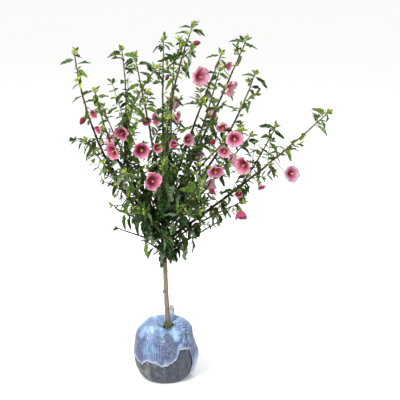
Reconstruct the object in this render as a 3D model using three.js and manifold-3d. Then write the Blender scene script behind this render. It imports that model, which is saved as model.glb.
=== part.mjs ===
// A cape mallow, the small hibiscus of garden shops, grown as a shrub on one bare stem. Its root ball is in
// a nursery bag with a sheet of clear film drawn over the shoulders. Sizes are in millimetres and +Z is up.
// The front faces -Y, and the origin is the middle of the flat underside of the root ball.
import * as THREE from "three";
import { mergeVertices } from "three/addons/utils/BufferGeometryUtils.js";
import Module from "manifold-3d";

const wasm = await Module();
wasm.setup();

const GAP = 0.3; // between two solids that rest on each other
const MERGE = 0.05; // how far a face may move when slivers are taken out after a join
const vec = (x, y, z) => new THREE.Vector3(x, y, z);
const degrees = THREE.MathUtils.degToRad;

// Root ball and film
const BALL_SIDES = 24;
const BALL_PROFILE = [ // radius and height, from the underside to the level soil on top
  [0, 0], [46, 0], [56, 6], [65, 32], [67, 56], [64, 78], [55, 96], [40, 107], [24, 110], [0, 110],
];
const SOIL_HEIGHT = 110;
const BALL_X = -4; // its middle stands a little left of the stem's foot
const DENT = 0.025; // share of the radius
const FILM_SIDES = 24;
const FILM_THICK = 2.4;
const FILM_BANDS = [57, 76]; // heights of its rings on the side of the ball
const FILM_DOME = [ // radius, height and share of the dip, from there over to the stem
  [63.5, 92, 0], [57, 106, 0.2], [47, 119.5, 0.6], [34, 128.5, 1], [19, 113, 0.25],
];
const FILM_DIP = 15; // how much lower the dome is in front
const FILM_DIP_WIDTH = 32; // degrees to either side of the front
const FILM_EDGE = [ // the ragged lower edge: degrees from the front towards the right, and height
  [-180, 50], [-120, 40], [-69, 60], [-44, 45], [-30, 56], [3, 48], [21, 57], [30, 80], [62, 80], [80, 58],
  [90, 27], [104, 28], [122, 44], [180, 50],
];
const FILM_EDGE_BAND = 3; // least height of the first band above that edge
const FILM_INSIDE = 8; // how far the film reaches into the ball before it is hollowed, at its edge
const FILM_INSIDE_TOP = [18, 97]; // radius and height of that reach at the top
const FLAP = { width: 13, height: 26, foot: 9, thick: 2.2, at: [14, 31, 121], turn: -12 }; // behind the stem

// Stem
const STEM_LINE = [ // the middle of the stem, from its flat foot up, with a slight lean and sway
  [3, 0, SOIL_HEIGHT + GAP], [3, 0, 118], [1, 0, 160], [-1, 0, 210], [-2, 0, 265], [-1, 0, 330], [0, 0, 402],
];
const STEM_FOOT_R = 7.6;
const STEM_R = 5.4;
const STEM_TIP_R = 2.6;
const STEM_TAPER = 1.6; // over 1 keeps the thickness low down
const FLARE_FADE = 8.8; // mm in which the flare of the foot falls to a third
const STEM_FLUTE = 0.05; // of the radius
const STEM_SIDES = 8;
const STEM_STEPS = 13;
const STEM_CROWDING = 1.25; // over 1 draws the rings together at the foot
const KNOTS = [ // height, side that it faces in degrees, radius
  [193, 190, 2.3], [238, 30, 1.5], [157, -60, 1.3],
];
const KNOT_TALL = 1.4; // times as tall as it is wide
const KNOT_OUT = 0.95; // of the stem's radius

// Canes. Each leaves the stem at the height `root`, ends at `tip`, and stands off the straight line by `bow`
// at its middle, sideways and front to back. Leaves begin at the share `bare` of its length. A fork is a
// second wand from the share `from`. A bloom is the middle of its mouth, the way it faces in degrees
// (from the front towards the right, then above level) and its width. Canes out of sight bloom by rule.
const CANES = [
  { name: "left_outer", root: 304, tip: [-176, -40, 712], bow: [-40, 0], bare: 0.16,
    blooms: [[-138, -60, 590, -30, -20, 24], [-161, -48, 577, -50, -50, 18]] },
  { name: "left_inner", root: 327, tip: [-129, -110, 645], bow: [-24, 0], bare: 0.16,
    blooms: [[-103, -96, 521, -40, -5, 43], [-124, -104, 568, -50, -15, 21]] },
  { name: "left_low", root: 282, tip: [-155, -80, 542], bow: [6, -6], bare: 0.2, blooms: [] },
  { name: "left_front", root: 346, tip: [-10, -60, 685], bow: [-74, -14], bare: 0.14, twigs: 0.25,
    forks: [{ from: 0.6, tip: [-87, 22, 709], bow: [4, 0] }],
    blooms: [[-86, -62, 550, -35, -12, 38], [-41, -112, 526, 8, -5, 41]] },
  { name: "left_back_tall", root: 353, tip: [-68, 110, 690], bow: [2, 10], bare: 0.14,
    blooms: [[-39, 30, 560, 10, -10, 24]] },
  { name: "middle_tall", root: 383, tip: [-3, 60, 728], bow: [-4, 20], bare: 0.12,
    blooms: [[-20, -24, 572, -55, -5, 33]] },
  { name: "middle_top", root: 400, tip: [60, 6, 763], bow: [-20, 0], bare: 0.12,
    forks: [{ from: 0.8, tip: [57, -6, 716], bow: [2, 0] }],
    blooms: [[64, -10, 725, 60, 5, 16], [30, -34, 579, 60, -5, 32], [20, -62, 528, -40, 5, 26]] },
  { name: "right_middle", root: 382, tip: [115, -60, 711], bow: [-3, -8], bare: 0.14,
    blooms: [[78, -72, 665, 42, 0, 48], [50, -48, 536, 30, 10, 26]] },
  { name: "right_tall", root: 362, tip: [170, 61, 728], bow: [4, 12], bare: 0.13,
    blooms: [[130, 26, 674, 50, 5, 24], [138, 14, 629, 50, -20, 42]] },
  { name: "right_lean", root: 356, tip: [182, -60, 673], bow: [22, -8], bare: 0.16,
    blooms: [[118, -98, 566, 5, -45, 34]] },
  { name: "right_front", root: 340, tip: [150, -128, 572], bow: [-26, -14], bare: 0.18,
    blooms: [[139, -150, 556, 5, -8, 42], [154, -126, 499, -35, -8, 42], [98, -92, 541, -20, -20, 17],
      [119, -118, 525, -10, -10, 30]] },
  { name: "right_outer", root: 308, tip: [334, -30, 590], bow: [12, 0], bare: 0.16, twigs: 0.2,
    forks: [{ from: 0.46, tip: [232, 40, 547], bow: [4, 6] }],
    blooms: [[261, -54, 467, 45, 12, 42], [197, -50, 440, 30, -40, 18]] },
  { name: "right_low", root: 296, tip: [160, -66, 412], bow: [-14, -4], bare: 0.24,
    blooms: [[155, -84, 388, 10, -60, 27], [96, -92, 440, 20, -10, 17], [151, -70, 430, -10, -20, 20]] },
  { name: "front_middle", root: 352, tip: [12, -182, 606], bow: [-4, -18], bare: 0.17,
    blooms: [[-10, -100, 530, 10, 0, 25]] },
  { name: "front_left", root: 314, tip: [-72, -172, 500], bow: [-4, -14], bare: 0.2,
    blooms: [[-16, -158, 476, 32, 0, 43]] },
  { name: "front_right", root: 334, tip: [74, -170, 478], bow: [4, -14], bare: 0.22,
    blooms: [[104, -134, 486, 15, -35, 40]] },
  { name: "back_middle", root: 377, tip: [14, 186, 668], bow: [2, 16], bare: 0.16, hidden: true },
  { name: "back_right_tall", root: 346, tip: [116, 168, 650], bow: [8, 16], bare: 0.16, hidden: true },
  { name: "back_right", root: 318, tip: [186, 142, 508], bow: [2, 8], bare: 0.18, hidden: true },
  { name: "back_left", root: 334, tip: [-142, 136, 574], bow: [-10, 12], bare: 0.17, hidden: true },
  { name: "back_low", root: 300, tip: [-30, 190, 470], bow: [0, 8], bare: 0.2, hidden: true },
];

// Short leafy shoots that sprout from the stem itself: a hanging skirt under the crown, and its heart
const SHOOTS = [
  { name: "skirt_front_left", root: 279, tip: [-40, -58, 326] },
  { name: "skirt_right", root: 280, tip: [112, -40, 362] },
  { name: "skirt_back_left", root: 286, tip: [-58, 62, 340] },
  { name: "skirt_left", root: 299, tip: [-98, -18, 340] },
  { name: "skirt_front_right", root: 286, tip: [52, -60, 334] },
  { name: "skirt_back_right", root: 292, tip: [56, 66, 344] },
  { name: "heart_front", root: 302, tip: [-2, -106, 352] },
  { name: "heart_front_left", root: 376, tip: [-50, -86, 436] },
  { name: "heart_left_high", root: 372, tip: [-56, 10, 472] },
  { name: "heart_right_high", root: 372, tip: [56, -48, 460] },
  { name: "heart_right", root: 350, tip: [76, -64, 408] },
  { name: "heart_left", root: 326, tip: [-103, 37, 366] },
  { name: "heart_back", root: 332, tip: [33, 94, 390] },
  { name: "heart_back_left", root: 320, tip: [-65, 76, 380] },
];
const CANE_TIP_R = 0.8;
const CANE_R = 1.2; // at the root, and it grows with the cane's length
const CANE_R_PER_MM = 0.0042;
const FORK_R = 0.85; // of the cane's radius where it leaves
const BOUGH_SIDES = 5;
const BOUGH_STEP = 40; // mm of bough for each ring
const TWIG_SIDES = 3;
const LIMB_STEP = 60; // mm of cane for each ring
const CANE_RINGS = 3; // at least
const BONE = 14; // mm, the straight pieces that stand for a limb's middle when room is measured

// Twigs and leaves
const NODE_GAP = 19; // mm between two leaves on a wand
const SPROUT_NODE_GAP = 8.5;
const NODE_CROWDING = 1.45; // over 1 draws the leaves together at the foot of the wand
const TURN = degrees(137.5); // from one leaf to the next round the wand
const TURN_PLAY = 50; // degrees
const TWIG_CHANCE = 0.38;
const TWIG_LONG = 74; // the longest, at the foot of a cane
const TWIG_LEAN = 0.75; // its heading is this much along the cane
const TWIG_OUT = 0.85; // and this much away from it
const TWIG_R = 1.3;
const TWIG_TIP_R = 0.9;
const TWIG_THICKEST = 0.15; // share of its length, just outside the cane
const TWIG_NODE_GAP = 19;
const TWIG_TURN_PLAY = 60; // degrees
const LEAF_LONG = 44; // a middling one near the foot of a cane
const LEAF_SHRINK = 0.36; // of that, towards the tip
const LEAF_TRIES = [1, 0.8, 0.62]; // shares of its length that are tried before a leaf is skipped
const LEAF_HANG = -55; // degrees above level, at the foot of a cane
const LEAF_SPREAD = -22; // at the share LEAF_TURN
const LEAF_STAND = 30; // at its tip
const LEAF_TURN = 0.55;
const LEAF_RISE_PLAY = 56;
const LEAF_ROLL_PLAY = 80;
const LEAF_HALF_WIDTH = 0.27; // of the length, as are the next three
const LEAF_WIDEST = 0.4;
const LEAF_DROOP = 0.15; // of the tip below the plane of the leaf's near half; this also makes it thick
const LEAF_STALK = 0.18; // near end that needs no room of its own
const SPROUT_YOUTH = 0.1; // a shoot's leaves are all like those of a cane at this share of its length
const TIP_LEAVES = [ // side in radians, share of LEAF_LONG, roll in radians
  [0.8, 0.6, 0.4], [3.9, 0.5, -0.4],
];
const TIP_LEAF_ROOT = 0.985;
const BUD_LONG = 10.8;
const BUD_WIDE = 7.6;
const SPACE_MARGIN = 1.2; // mm that a leaf keeps inside the border of its own mass
const LIMB_CLEAR = 1.5; // mm that it keeps off any limb

// Blooms
const BLOOM_RIM_POINTS = 10; // five petals and the five notches between them
const BLOOM_NOTCH = 0.84;
const BLOOM_DEPTH = 0.62; // of the radius
const BLOOM_WALL = 2.4;
const BLOOM_SLACK = 1.09; // the bowl is this much shallower between its ridges
const BLOOM_ROOM = 0.7; // of its radius, kept clear of its own cane's leaves
const PEDICEL_R = 1;
const PEDICEL_THICKEST = 0.4; // share of its length
const PEDICEL_OFF = 0.22; // share of the bloom's radius that it meets the bowl below its middle
const PEDICEL_SUNK = 0.42; // share of the bowl's wall
const PEDICEL_BACK = 8; // it would leave its cane this far behind the bloom
const PEDICEL_LOWER = 14; // and this far below it
const PEDICEL_BEND = 0.45;
const PEDICEL_ENDS = [0.04, 0.97]; // it keeps between these shares of the cane
const HIDDEN_BLOOM_SHARES = [0.4, 0.66];
const HIDDEN_BLOOM_WIDTH = 38;
const HIDDEN_BLOOM_OUT = 34; // from the cane
const HIDDEN_BLOOM_UP = 12;
const HIDDEN_BLOOM_TILT = 0.1;

const COLOURS = {
  bag: { color: 0x4b4f54, roughness: 0.45, metalness: 0 },
  film: { color: 0xa9bedd, roughness: 0.25, metalness: 0 },
  bark: { color: 0x8a7350, roughness: 0.85, metalness: 0 },
  bough: { color: 0x5c4a32, roughness: 0.8, metalness: 0 },
  foliage: { color: 0x3f6b2c, roughness: 0.6, metalness: 0 },
};

// A repeatable row of numbers from 0 to 1
function seeded(seed) {
  let state = seed;
  return () => {
    state = (state * 1664525 + 1013904223) % 4294967296;
    return state / 4294967296;
  };
}

// The closed solid of a three.js geometry
function solid(geometry) {
  const bare = geometry.clone();
  bare.deleteAttribute("normal");
  bare.deleteAttribute("uv");
  const welded = mergeVertices(bare, 1e-4);
  const corners = welded.index.array;
  const faces = [];
  for (let i = 0; i < corners.length; i += 3) {
    const [a, b, c] = corners.slice(i, i + 3);
    if (a !== b && b !== c && c !== a) faces.push(a, b, c);
  }
  return new wasm.Manifold(new wasm.Mesh({
    numProp: 3,
    vertProperties: welded.attributes.position.array,
    triVerts: new Uint32Array(faces),
  }));
}

// A named mesh of a solid's largest body, without slivers
function mesh(name, shape, look) {
  const whole = shape.simplify(MERGE).decompose().sort((a, b) => b.volume() - a.volume())[0];
  const made = whole.getMesh();
  const geometry = new THREE.BufferGeometry();
  geometry.setAttribute("position", new THREE.BufferAttribute(new Float32Array(made.vertProperties), 3));
  geometry.setIndex(new THREE.BufferAttribute(new Uint32Array(made.triVerts), 1));
  geometry.computeVertexNormals();
  const node = new THREE.Mesh(geometry, new THREE.MeshStandardMaterial(look));
  node.name = name;
  return node;
}

// Moves every vertex of a geometry to where `place` puts it
function shaped(geometry, place) {
  const position = geometry.attributes.position;
  const point = new THREE.Vector3();
  for (let i = 0; i < position.count; i++) {
    point.fromBufferAttribute(position, i);
    const moved = place(point);
    position.setXYZ(i, moved.x, moved.y, moved.z);
  }
  return geometry;
}

// A smooth bend in one plane, with a frame that never twists
class Way {
  constructor(start, bend, end) {
    this.curve = new THREE.QuadraticBezierCurve3(start, bend, end);
    this.length = this.curve.getLength();
    this.across = bend.clone().sub(start).cross(end.clone().sub(start));
    if (this.across.length() < 1e-3 * this.length) {
      this.across.copy(end).sub(start).cross(vec(0, 1, 0.2));
    }
    this.across.normalize();
  }

  at(t) {
    return this.curve.getPoint(t);
  }

  along(t) {
    const { v0, v1, v2 } = this.curve;
    return v1.clone().sub(v0).multiplyScalar(1 - t).addScaledVector(v2.clone().sub(v1), t).normalize();
  }

  // The unit vector square to the way at `t`, turned by `angle` from the plane of the bend
  out(t, angle) {
    const inPlane = this.across.clone().cross(this.along(t));
    return inPlane.multiplyScalar(Math.cos(angle)).addScaledVector(this.across, Math.sin(angle));
  }
}

// From `start` to `tip`, standing off the straight line by `bow` in its middle
function bowed(start, tip, bow) {
  const chord = tip.clone().sub(start).normalize();
  const off = vec(bow[0], bow[1], 0);
  off.addScaledVector(chord, -off.dot(chord));
  const middle = start.clone().add(tip).multiplyScalar(0.5);
  return new Way(start, middle.addScaledVector(off, 2), tip);
}

// A round limb along part of a way, `radius(t)` thick
function limb(way, from, to, radius, sides, steps) {
  const tube = new THREE.CylinderGeometry(1, 1, 1, sides, steps);
  return solid(shaped(tube, (p) => {
    const t = from + (to - from) * (p.y + 0.5);
    const off = way.out(t, 0).multiplyScalar(p.x).addScaledVector(way.across, -p.z);
    return way.at(t).addScaledVector(off, radius(t));
  }));
}

// The root ball: a filled nursery bag with a flat underside and soft dents
function dent(angle, height) {
  const broad = Math.sin(2 * angle + 0.6) + 0.7 * Math.sin(3 * angle + height / 19);
  const lumps = broad + 0.5 * Math.sin(5 * angle - height / 13);
  return 1 + DENT * lumps * Math.sin(Math.PI * Math.min(1, height / SOIL_HEIGHT));
}

// The value at `x` on the straight lines between points [x, value] that go up in x
function onLine(points, x) {
  const next = points.findIndex(([at]) => at > x);
  const k = next < 0 ? points.length - 1 : Math.max(1, next);
  const [[x0, y0], [x1, y1]] = points.slice(k - 1, k + 1);
  return THREE.MathUtils.mapLinear(x, x0, x1, y0, y1);
}

function ballRadius(angle, height) {
  return onLine(BALL_PROFILE.map(([r, z]) => [z, r]), height) * dent(angle, height);
}

function ball(grown) {
  const widest = Math.max(...BALL_PROFILE.map(([r]) => r));
  const profile = BALL_PROFILE.map(([r, z]) => new THREE.Vector2(r, z));
  return solid(shaped(new THREE.LatheGeometry(profile, BALL_SIDES), (p) => {
    const angle = Math.atan2(-p.z, p.x);
    const size = dent(angle, p.y) * (1 + grown / widest);
    return vec(p.x * size, -p.z * size, p.y + (p.y > SOIL_HEIGHT / 2 ? grown : 0));
  }));
}

// The film: a loose dome over the shoulders, gathered to the foot of the stem and lower in front
function frontDegrees(angle) {
  return THREE.MathUtils.radToDeg(Math.atan2(Math.cos(angle), -Math.sin(angle)));
}

function filmEdge(angle) {
  return onLine(FILM_EDGE, frontDegrees(angle));
}

function film() {
  const dip = (angle) => FILM_DIP * Math.exp(-((frontDegrees(angle) / FILM_DIP_WIDTH) ** 2));
  const rings = [
    ...[0, ...FILM_BANDS].map((band) => (angle) => {
      const z = Math.max(band, filmEdge(angle) + (band > 0 ? FILM_EDGE_BAND : 0));
      return [ballRadius(angle, z) + FILM_THICK, z];
    }),
    ...FILM_DOME.map(([r, z, share]) => (angle) => [r, z - share * dip(angle)]),
    () => FILM_INSIDE_TOP,
    (angle) => [ballRadius(angle, filmEdge(angle)) - FILM_INSIDE, filmEdge(angle)],
  ];
  const profile = [...rings.keys(), 0].map((k) => new THREE.Vector2(100 + Math.cos(k), k));
  const lathe = new THREE.LatheGeometry(profile, FILM_SIDES, Math.PI / FILM_SIDES);
  const blank = solid(shaped(lathe, (p) => {
    const angle = Math.atan2(-p.z, p.x);
    const [r, z] = rings[Math.round(p.y)](angle);
    return vec(r * Math.cos(angle), r * Math.sin(angle), z);
  }));
  const outline = new THREE.Shape([
    new THREE.Vector2(-FLAP.width / 2, -FLAP.foot),
    new THREE.Vector2(FLAP.width / 2, -FLAP.foot),
    new THREE.Vector2(FLAP.width * 0.42, FLAP.height * 0.55),
    new THREE.Vector2(0, FLAP.height),
    new THREE.Vector2(-FLAP.width * 0.36, FLAP.height * 0.7),
  ]);
  const flap = new THREE.ExtrudeGeometry(outline, { depth: FLAP.thick, bevelEnabled: false })
    .rotateX(Math.PI / 2 + degrees(FLAP.turn))
    .translate(...FLAP.at);
  return blank.add(solid(flap)).subtract(ball(GAP));
}

// The stem, with horizontal rings so that its foot is cut flat
const stemLine = new THREE.CatmullRomCurve3(STEM_LINE.map((p) => vec(...p)));
const stemFoot = STEM_LINE[0][2];
const stemTop = STEM_LINE.at(-1)[2];

function stemRadius(height) {
  const share = (height - stemFoot) / (stemTop - stemFoot);
  const flare = Math.exp(-(height - stemFoot) / FLARE_FADE);
  return STEM_R + (STEM_TIP_R - STEM_R) * share ** STEM_TAPER + (STEM_FOOT_R - STEM_R) * flare;
}

function stemAt(height) {
  let low = 0;
  let high = 1;
  for (let i = 0; i < 30; i++) {
    const half = (low + high) / 2;
    if (stemLine.getPoint(half).z < height) low = half;
    else high = half;
  }
  return stemLine.getPoint(low).setZ(height);
}

function stem(grown) {
  const tube = new THREE.CylinderGeometry(1, 1, 1, STEM_SIDES, STEM_STEPS);
  const parts = [solid(shaped(tube, (p) => {
    const height = stemFoot + (stemTop - stemFoot) * (p.y + 0.5) ** STEM_CROWDING;
    const r = stemRadius(height) + grown;
    const flute = 1 + STEM_FLUTE * Math.sin(3 * Math.atan2(p.z, p.x) + height / 40);
    return stemAt(height).add(vec(p.x * r * flute, -p.z * r * flute, p.y > 0.499 ? grown : 0));
  }))];
  for (const [height, side, r] of KNOTS) {
    const facing = degrees(side);
    const off = stemRadius(height) * KNOT_OUT;
    const knot = new THREE.IcosahedronGeometry(r + grown, 0);
    const place = stemAt(height).add(vec(Math.cos(facing) * off, Math.sin(facing) * off, 0));
    parts.push(solid(knot.scale(1, 1, KNOT_TALL).translate(place.x, place.y, place.z)));
  }
  return wasm.Manifold.union(parts);
}

// The wands of a cane: the cane itself, and then its forks
function caneRadius(length) {
  return (t) => CANE_TIP_R + (CANE_R + CANE_R_PER_MM * length - CANE_TIP_R) * (1 - t);
}

// A wand is the leafy length of a way. What grows on it starts on the straight runs between its rings.
class Wand {
  constructor(way, radius, from, seed) {
    Object.assign(this, { way, radius, from, seed });
    this.steps = Math.max(CANE_RINGS, Math.round(way.length * (1 - from) / LIMB_STEP));
  }

  at(t) {
    const step = (1 - this.from) / this.steps;
    const ring = Math.min(this.steps - 1, Math.floor((t - this.from) / step));
    const before = this.from + ring * step;
    return this.way.at(before).lerp(this.way.at(before + step), (t - before) / step);
  }
}

const ALL_CANES = [...CANES, ...SHOOTS.map((shoot) => ({ bow: [0, 0], bare: 0, sprout: true, ...shoot }))];
for (const [order, cane] of ALL_CANES.entries()) {
  const way = bowed(stemAt(cane.root), vec(...cane.tip), cane.bow);
  const radius = caneRadius(way.length);
  const main = new Wand(way, radius, cane.bare, order * 10 + 1);
  cane.wands = [main];
  for (const [n, fork] of (cane.forks ?? []).entries()) {
    const branch = bowed(main.at(fork.from), vec(...fork.tip), fork.bow);
    const thick = radius(fork.from) * FORK_R;
    const thin = (t) => CANE_TIP_R + (thick - CANE_TIP_R) * (1 - t);
    cane.wands.push(new Wand(branch, thin, 0, order * 10 + 2 + n));
  }
  cane.blooms = (cane.blooms ?? []).map(([x, y, z, turn, tilt, width]) => ({
    mouth: vec(x, y, z),
    facing: vec(
      Math.sin(degrees(turn)) * Math.cos(degrees(tilt)),
      -Math.cos(degrees(turn)) * Math.cos(degrees(tilt)),
      Math.sin(degrees(tilt)),
    ),
    radius: width / 2,
  }));
  if (cane.hidden) {
    for (const share of HIDDEN_BLOOM_SHARES) {
      const at = way.at(share);
      const facing = vec(at.x, at.y, 0).normalize().setZ(HIDDEN_BLOOM_TILT).normalize();
      const mouth = at.clone().addScaledVector(facing, HIDDEN_BLOOM_OUT).add(vec(0, 0, HIDDEN_BLOOM_UP));
      cane.blooms.push({ mouth, facing, radius: HIDDEN_BLOOM_WIDTH / 2 });
    }
  }
  for (const bloom of cane.blooms) bloom.pedicel = pedicelOf(cane, bloom);
}

// A pedicel leaves the nearest point of a wand that lies a little lower, and enters the bloom from behind
function pedicelOf(cane, bloom) {
  const base = bloom.mouth.clone().addScaledVector(bloom.facing, -bloom.radius * BLOOM_DEPTH);
  const wish = base.clone().addScaledVector(bloom.facing, -PEDICEL_BACK).setZ(base.z - PEDICEL_LOWER);
  let best = Infinity;
  let start = null;
  for (const wand of cane.wands) {
    for (let t = wand.from + PEDICEL_ENDS[0]; t < PEDICEL_ENDS[1]; t += 0.01) {
      const far = wand.at(t).distanceTo(wish);
      if (far < best) {
        best = far;
        start = wand.at(t);
      }
    }
  }
  const below = vec(0, 0, -1).addScaledVector(bloom.facing, bloom.facing.z).normalize();
  const inWall = bloom.radius * BLOOM_DEPTH * PEDICEL_OFF * BLOOM_SLACK + BLOOM_WALL * PEDICEL_SUNK;
  const end = base.addScaledVector(bloom.facing, inWall).addScaledVector(below, bloom.radius * PEDICEL_OFF);
  const bend = end.clone().addScaledVector(bloom.facing, -PEDICEL_BEND * start.distanceTo(end));
  return new Way(start, bend, end);
}

// Bones are short pieces of the middles of the stem, the boughs, the leafy wands and the pedicels
const bones = [];
function addBones(owner, middle, length, radius, from, to) {
  const steps = Math.max(2, Math.round(length * (to - from) / BONE));
  const step = (to - from) / steps;
  for (let a = from; a < to - step / 2; a += step) {
    bones.push({ owner, line: new THREE.Line3(middle(a), middle(a + step)), r: radius(a) });
  }
}
for (const cane of ALL_CANES) {
  const [{ way: main, radius: mainRadius }] = cane.wands;
  if (cane.bare > 0) addBones(null, (t) => main.at(t), main.length, mainRadius, 0, cane.bare);
  for (const { way, radius, from } of cane.wands) {
    addBones(cane, (t) => way.at(t), way.length, radius, from, 1);
  }
  for (const { pedicel } of cane.blooms) {
    addBones(cane, (t) => pedicel.at(t), pedicel.length, () => PEDICEL_R, 0, 1);
  }
}
addBones(null, stemAt, 1, stemRadius, stemFoot, stemTop);
const flowers = ALL_CANES.flatMap((cane) => cane.blooms.map((bloom) => ({ owner: cane, bloom })));
const nearest = new THREE.Vector3();

// True where all the points lie in the cane's own space, which is nearer to its own wands than to any other,
// and off the stem, every bough and every bloom
function fits(cane, points) {
  return points.every((p) => {
    let own = Infinity;
    let other = Infinity;
    for (const bone of bones) {
      const far = bone.line.closestPointToPoint(p, true, nearest).distanceTo(p);
      if (bone.owner === cane) own = Math.min(own, far);
      else if (bone.owner) other = Math.min(other, far);
      else if (far < bone.r + LIMB_CLEAR) return false;
    }
    if (own + SPACE_MARGIN > other) return false;
    return flowers.every(({ owner, bloom }) => {
      const middle = nearest.copy(bloom.mouth).addScaledVector(bloom.facing, -bloom.radius * BLOOM_DEPTH / 2);
      const room = owner === cane ? bloom.radius * BLOOM_ROOM : bloom.radius + SPACE_MARGIN;
      return middle.distanceTo(p) > room;
    });
  });
}

// A thin stalk of three sides: pointed where it is sunk in what it joins, thickest at its one ring at the
// share `at`, and `endRadius` thick at its far end
function stalk(way, at, radius, endRadius) {
  const profile = [[0, 0], [radius, at], [endRadius, 1], [0, 1]].map(([r, t]) => new THREE.Vector2(r, t));
  return solid(shaped(new THREE.LatheGeometry(profile, TWIG_SIDES), (p) => {
    const off = way.out(p.y, 0).multiplyScalar(p.x).addScaledVector(way.across, -p.z);
    return way.at(p.y).add(off);
  }));
}

// A leaf: a thin diamond of four faces, folded across its widest line, with its root sunk in its twig
function leaf(root, way, length, roll) {
  const side = way.clone().cross(vec(0, 0, 1)).normalize().applyAxisAngle(way, roll);
  const face = side.clone().cross(way).normalize();
  const widest = root.clone().addScaledVector(way, length * LEAF_WIDEST);
  const edges = [1, -1].map((k) => widest.clone().addScaledVector(side, k * length * LEAF_HALF_WIDTH));
  const tip = root.clone().addScaledVector(way, length).addScaledVector(face, -length * LEAF_DROOP);
  const near = root.clone().addScaledVector(way, length * LEAF_STALK);
  const points = [near, ...edges, widest.clone().lerp(tip, 0.5), tip];
  const shape = () => {
    const corners = [root, ...edges, tip];
    return solid(shaped(new THREE.TetrahedronGeometry(1, 0), (p) => {
      if (p.x * p.y > 0) return p.x > 0 ? corners[1] : corners[0];
      return p.x < 0 ? corners[2] : corners[3];
    }));
  };
  return { points, shape };
}

// A bloom: a five-petalled bowl with its own stalk
function bloomParts({ mouth, facing, radius, pedicel }) {
  const depth = radius * BLOOM_DEPTH;
  const profile = [[0, 0], [radius, depth], [0, BLOOM_WALL]].map(([r, y]) => new THREE.Vector2(r, y));
  const bowl = new THREE.LatheGeometry(profile, BLOOM_RIM_POINTS);
  shaped(bowl, (p) => {
    const slot = Math.round(Math.atan2(p.x, p.z) / (2 * Math.PI / BLOOM_RIM_POINTS));
    const reach = p.y > 0.9 * depth && slot % 2 ? BLOOM_NOTCH : 1;
    return vec(p.x * reach, p.y, p.z * reach);
  });
  const turn = new THREE.Quaternion().setFromUnitVectors(vec(0, 1, 0), facing);
  const base = mouth.clone().addScaledVector(facing, -depth);
  const place = new THREE.Matrix4().compose(base, turn, vec(1, 1, 1));
  return [solid(bowl.applyMatrix4(place)), stalk(pedicel, PEDICEL_THICKEST, PEDICEL_R, 0)];
}

function budPart(at, way) {
  const turn = new THREE.Quaternion().setFromUnitVectors(vec(0, 1, 0), way);
  const bud = new THREE.OctahedronGeometry(1, 0).scale(BUD_WIDE / 2, BUD_LONG / 2, BUD_WIDE / 2);
  return solid(bud.applyMatrix4(new THREE.Matrix4().compose(at, turn, vec(1, 1, 1))));
}

// How steeply a leaf rises at the share `t` of its cane: the low ones hang, and those at the tip stand up
function leafRise(t) {
  if (t < LEAF_TURN) return degrees(THREE.MathUtils.mapLinear(t, 0, LEAF_TURN, LEAF_HANG, LEAF_SPREAD));
  return degrees(THREE.MathUtils.mapLinear(t, LEAF_TURN, 1, LEAF_SPREAD, LEAF_STAND));
}

// The leaves and twigs of one wand. Every node draws the same six numbers, kept or not, so that what is
// skipped never moves what follows.
function leavesOf(cane, wand) {
  const draw = seeded(wand.seed);
  const gap = cane.sprout ? SPROUT_NODE_GAP : NODE_GAP;
  const twigChance = cane.sprout ? 0 : cane.twigs ?? TWIG_CHANCE;
  const { way } = wand;
  const nodes = Math.max(3, Math.round(way.length * (1 - wand.from) / gap));
  const parts = [];
  const addLeaf = (root, direction, length, roll) => {
    const sizes = LEAF_TRIES.map((share) => leaf(root, direction, length * share, roll));
    const made = sizes.find((one) => fits(cane, one.points));
    if (made) parts.push(made.shape());
  };
  for (let n = 0; n < nodes; n++) {
    const [jitter, chance, reach, size, lift, twist] = [draw(), draw(), draw(), draw(), draw(), draw()];
    const t = wand.from + (1 - wand.from) * ((n + 0.6) / nodes) ** NODE_CROWDING;
    const youth = cane.sprout ? SPROUT_YOUTH : t;
    const root = wand.at(t);
    const leafLong = LEAF_LONG * (1.1 - LEAF_SHRINK * youth) * (0.8 + 0.4 * size);
    const rise = leafRise(youth) + degrees(LEAF_RISE_PLAY * (lift - 0.5));
    const roll = degrees(LEAF_ROLL_PLAY * (twist - 0.5));
    const outward = way.out(t, n * TURN + degrees(TURN_PLAY * (jitter - 0.5)));
    addLeaf(root, outward.clone().add(vec(0, 0, Math.tan(rise))).normalize(), leafLong, roll);
    if (chance > twigChance || n === nodes - 1) continue;
    const long = TWIG_LONG * (0.45 + 0.55 * reach) * (1.15 - 0.7 * t);
    const opposite = way.out(t, n * TURN + Math.PI * 0.6);
    const heading = way.along(t).multiplyScalar(TWIG_LEAN).addScaledVector(opposite, TWIG_OUT).normalize();
    const end = root.clone().addScaledVector(heading, long);
    const twig = new Way(root, root.clone().lerp(end, 0.5), end);
    if (!fits(cane, [0.5, 0.75, 1].map((s) => twig.at(s)))) continue;
    parts.push(stalk(twig, TWIG_THICKEST, TWIG_R, TWIG_TIP_R));
    const pairs = Math.max(2, Math.round(long / TWIG_NODE_GAP));
    for (let k = 0; k < pairs; k++) {
      const s = (k + 0.8) / pairs;
      const across = twig.out(s, k * Math.PI + degrees(TWIG_TURN_PLAY * (jitter - 0.5)));
      const spread = across.addScaledVector(twig.along(s), 0.7).add(vec(0, 0, Math.sin(rise) * 0.6));
      addLeaf(twig.at(s), spread.normalize(), leafLong * (0.85 - 0.12 * k), roll * (k % 2 ? -1 : 1));
    }
    addLeaf(twig.at(0.9), twig.along(1), leafLong * 0.6, roll);
  }
  for (const [side, share, roll] of TIP_LEAVES) {
    const direction = way.along(1).add(way.out(1, side)).normalize();
    addLeaf(wand.at(TIP_LEAF_ROOT), direction, LEAF_LONG * share, roll);
  }
  parts.push(budPart(way.at(1), way.along(1)));
  return parts;
}

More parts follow.
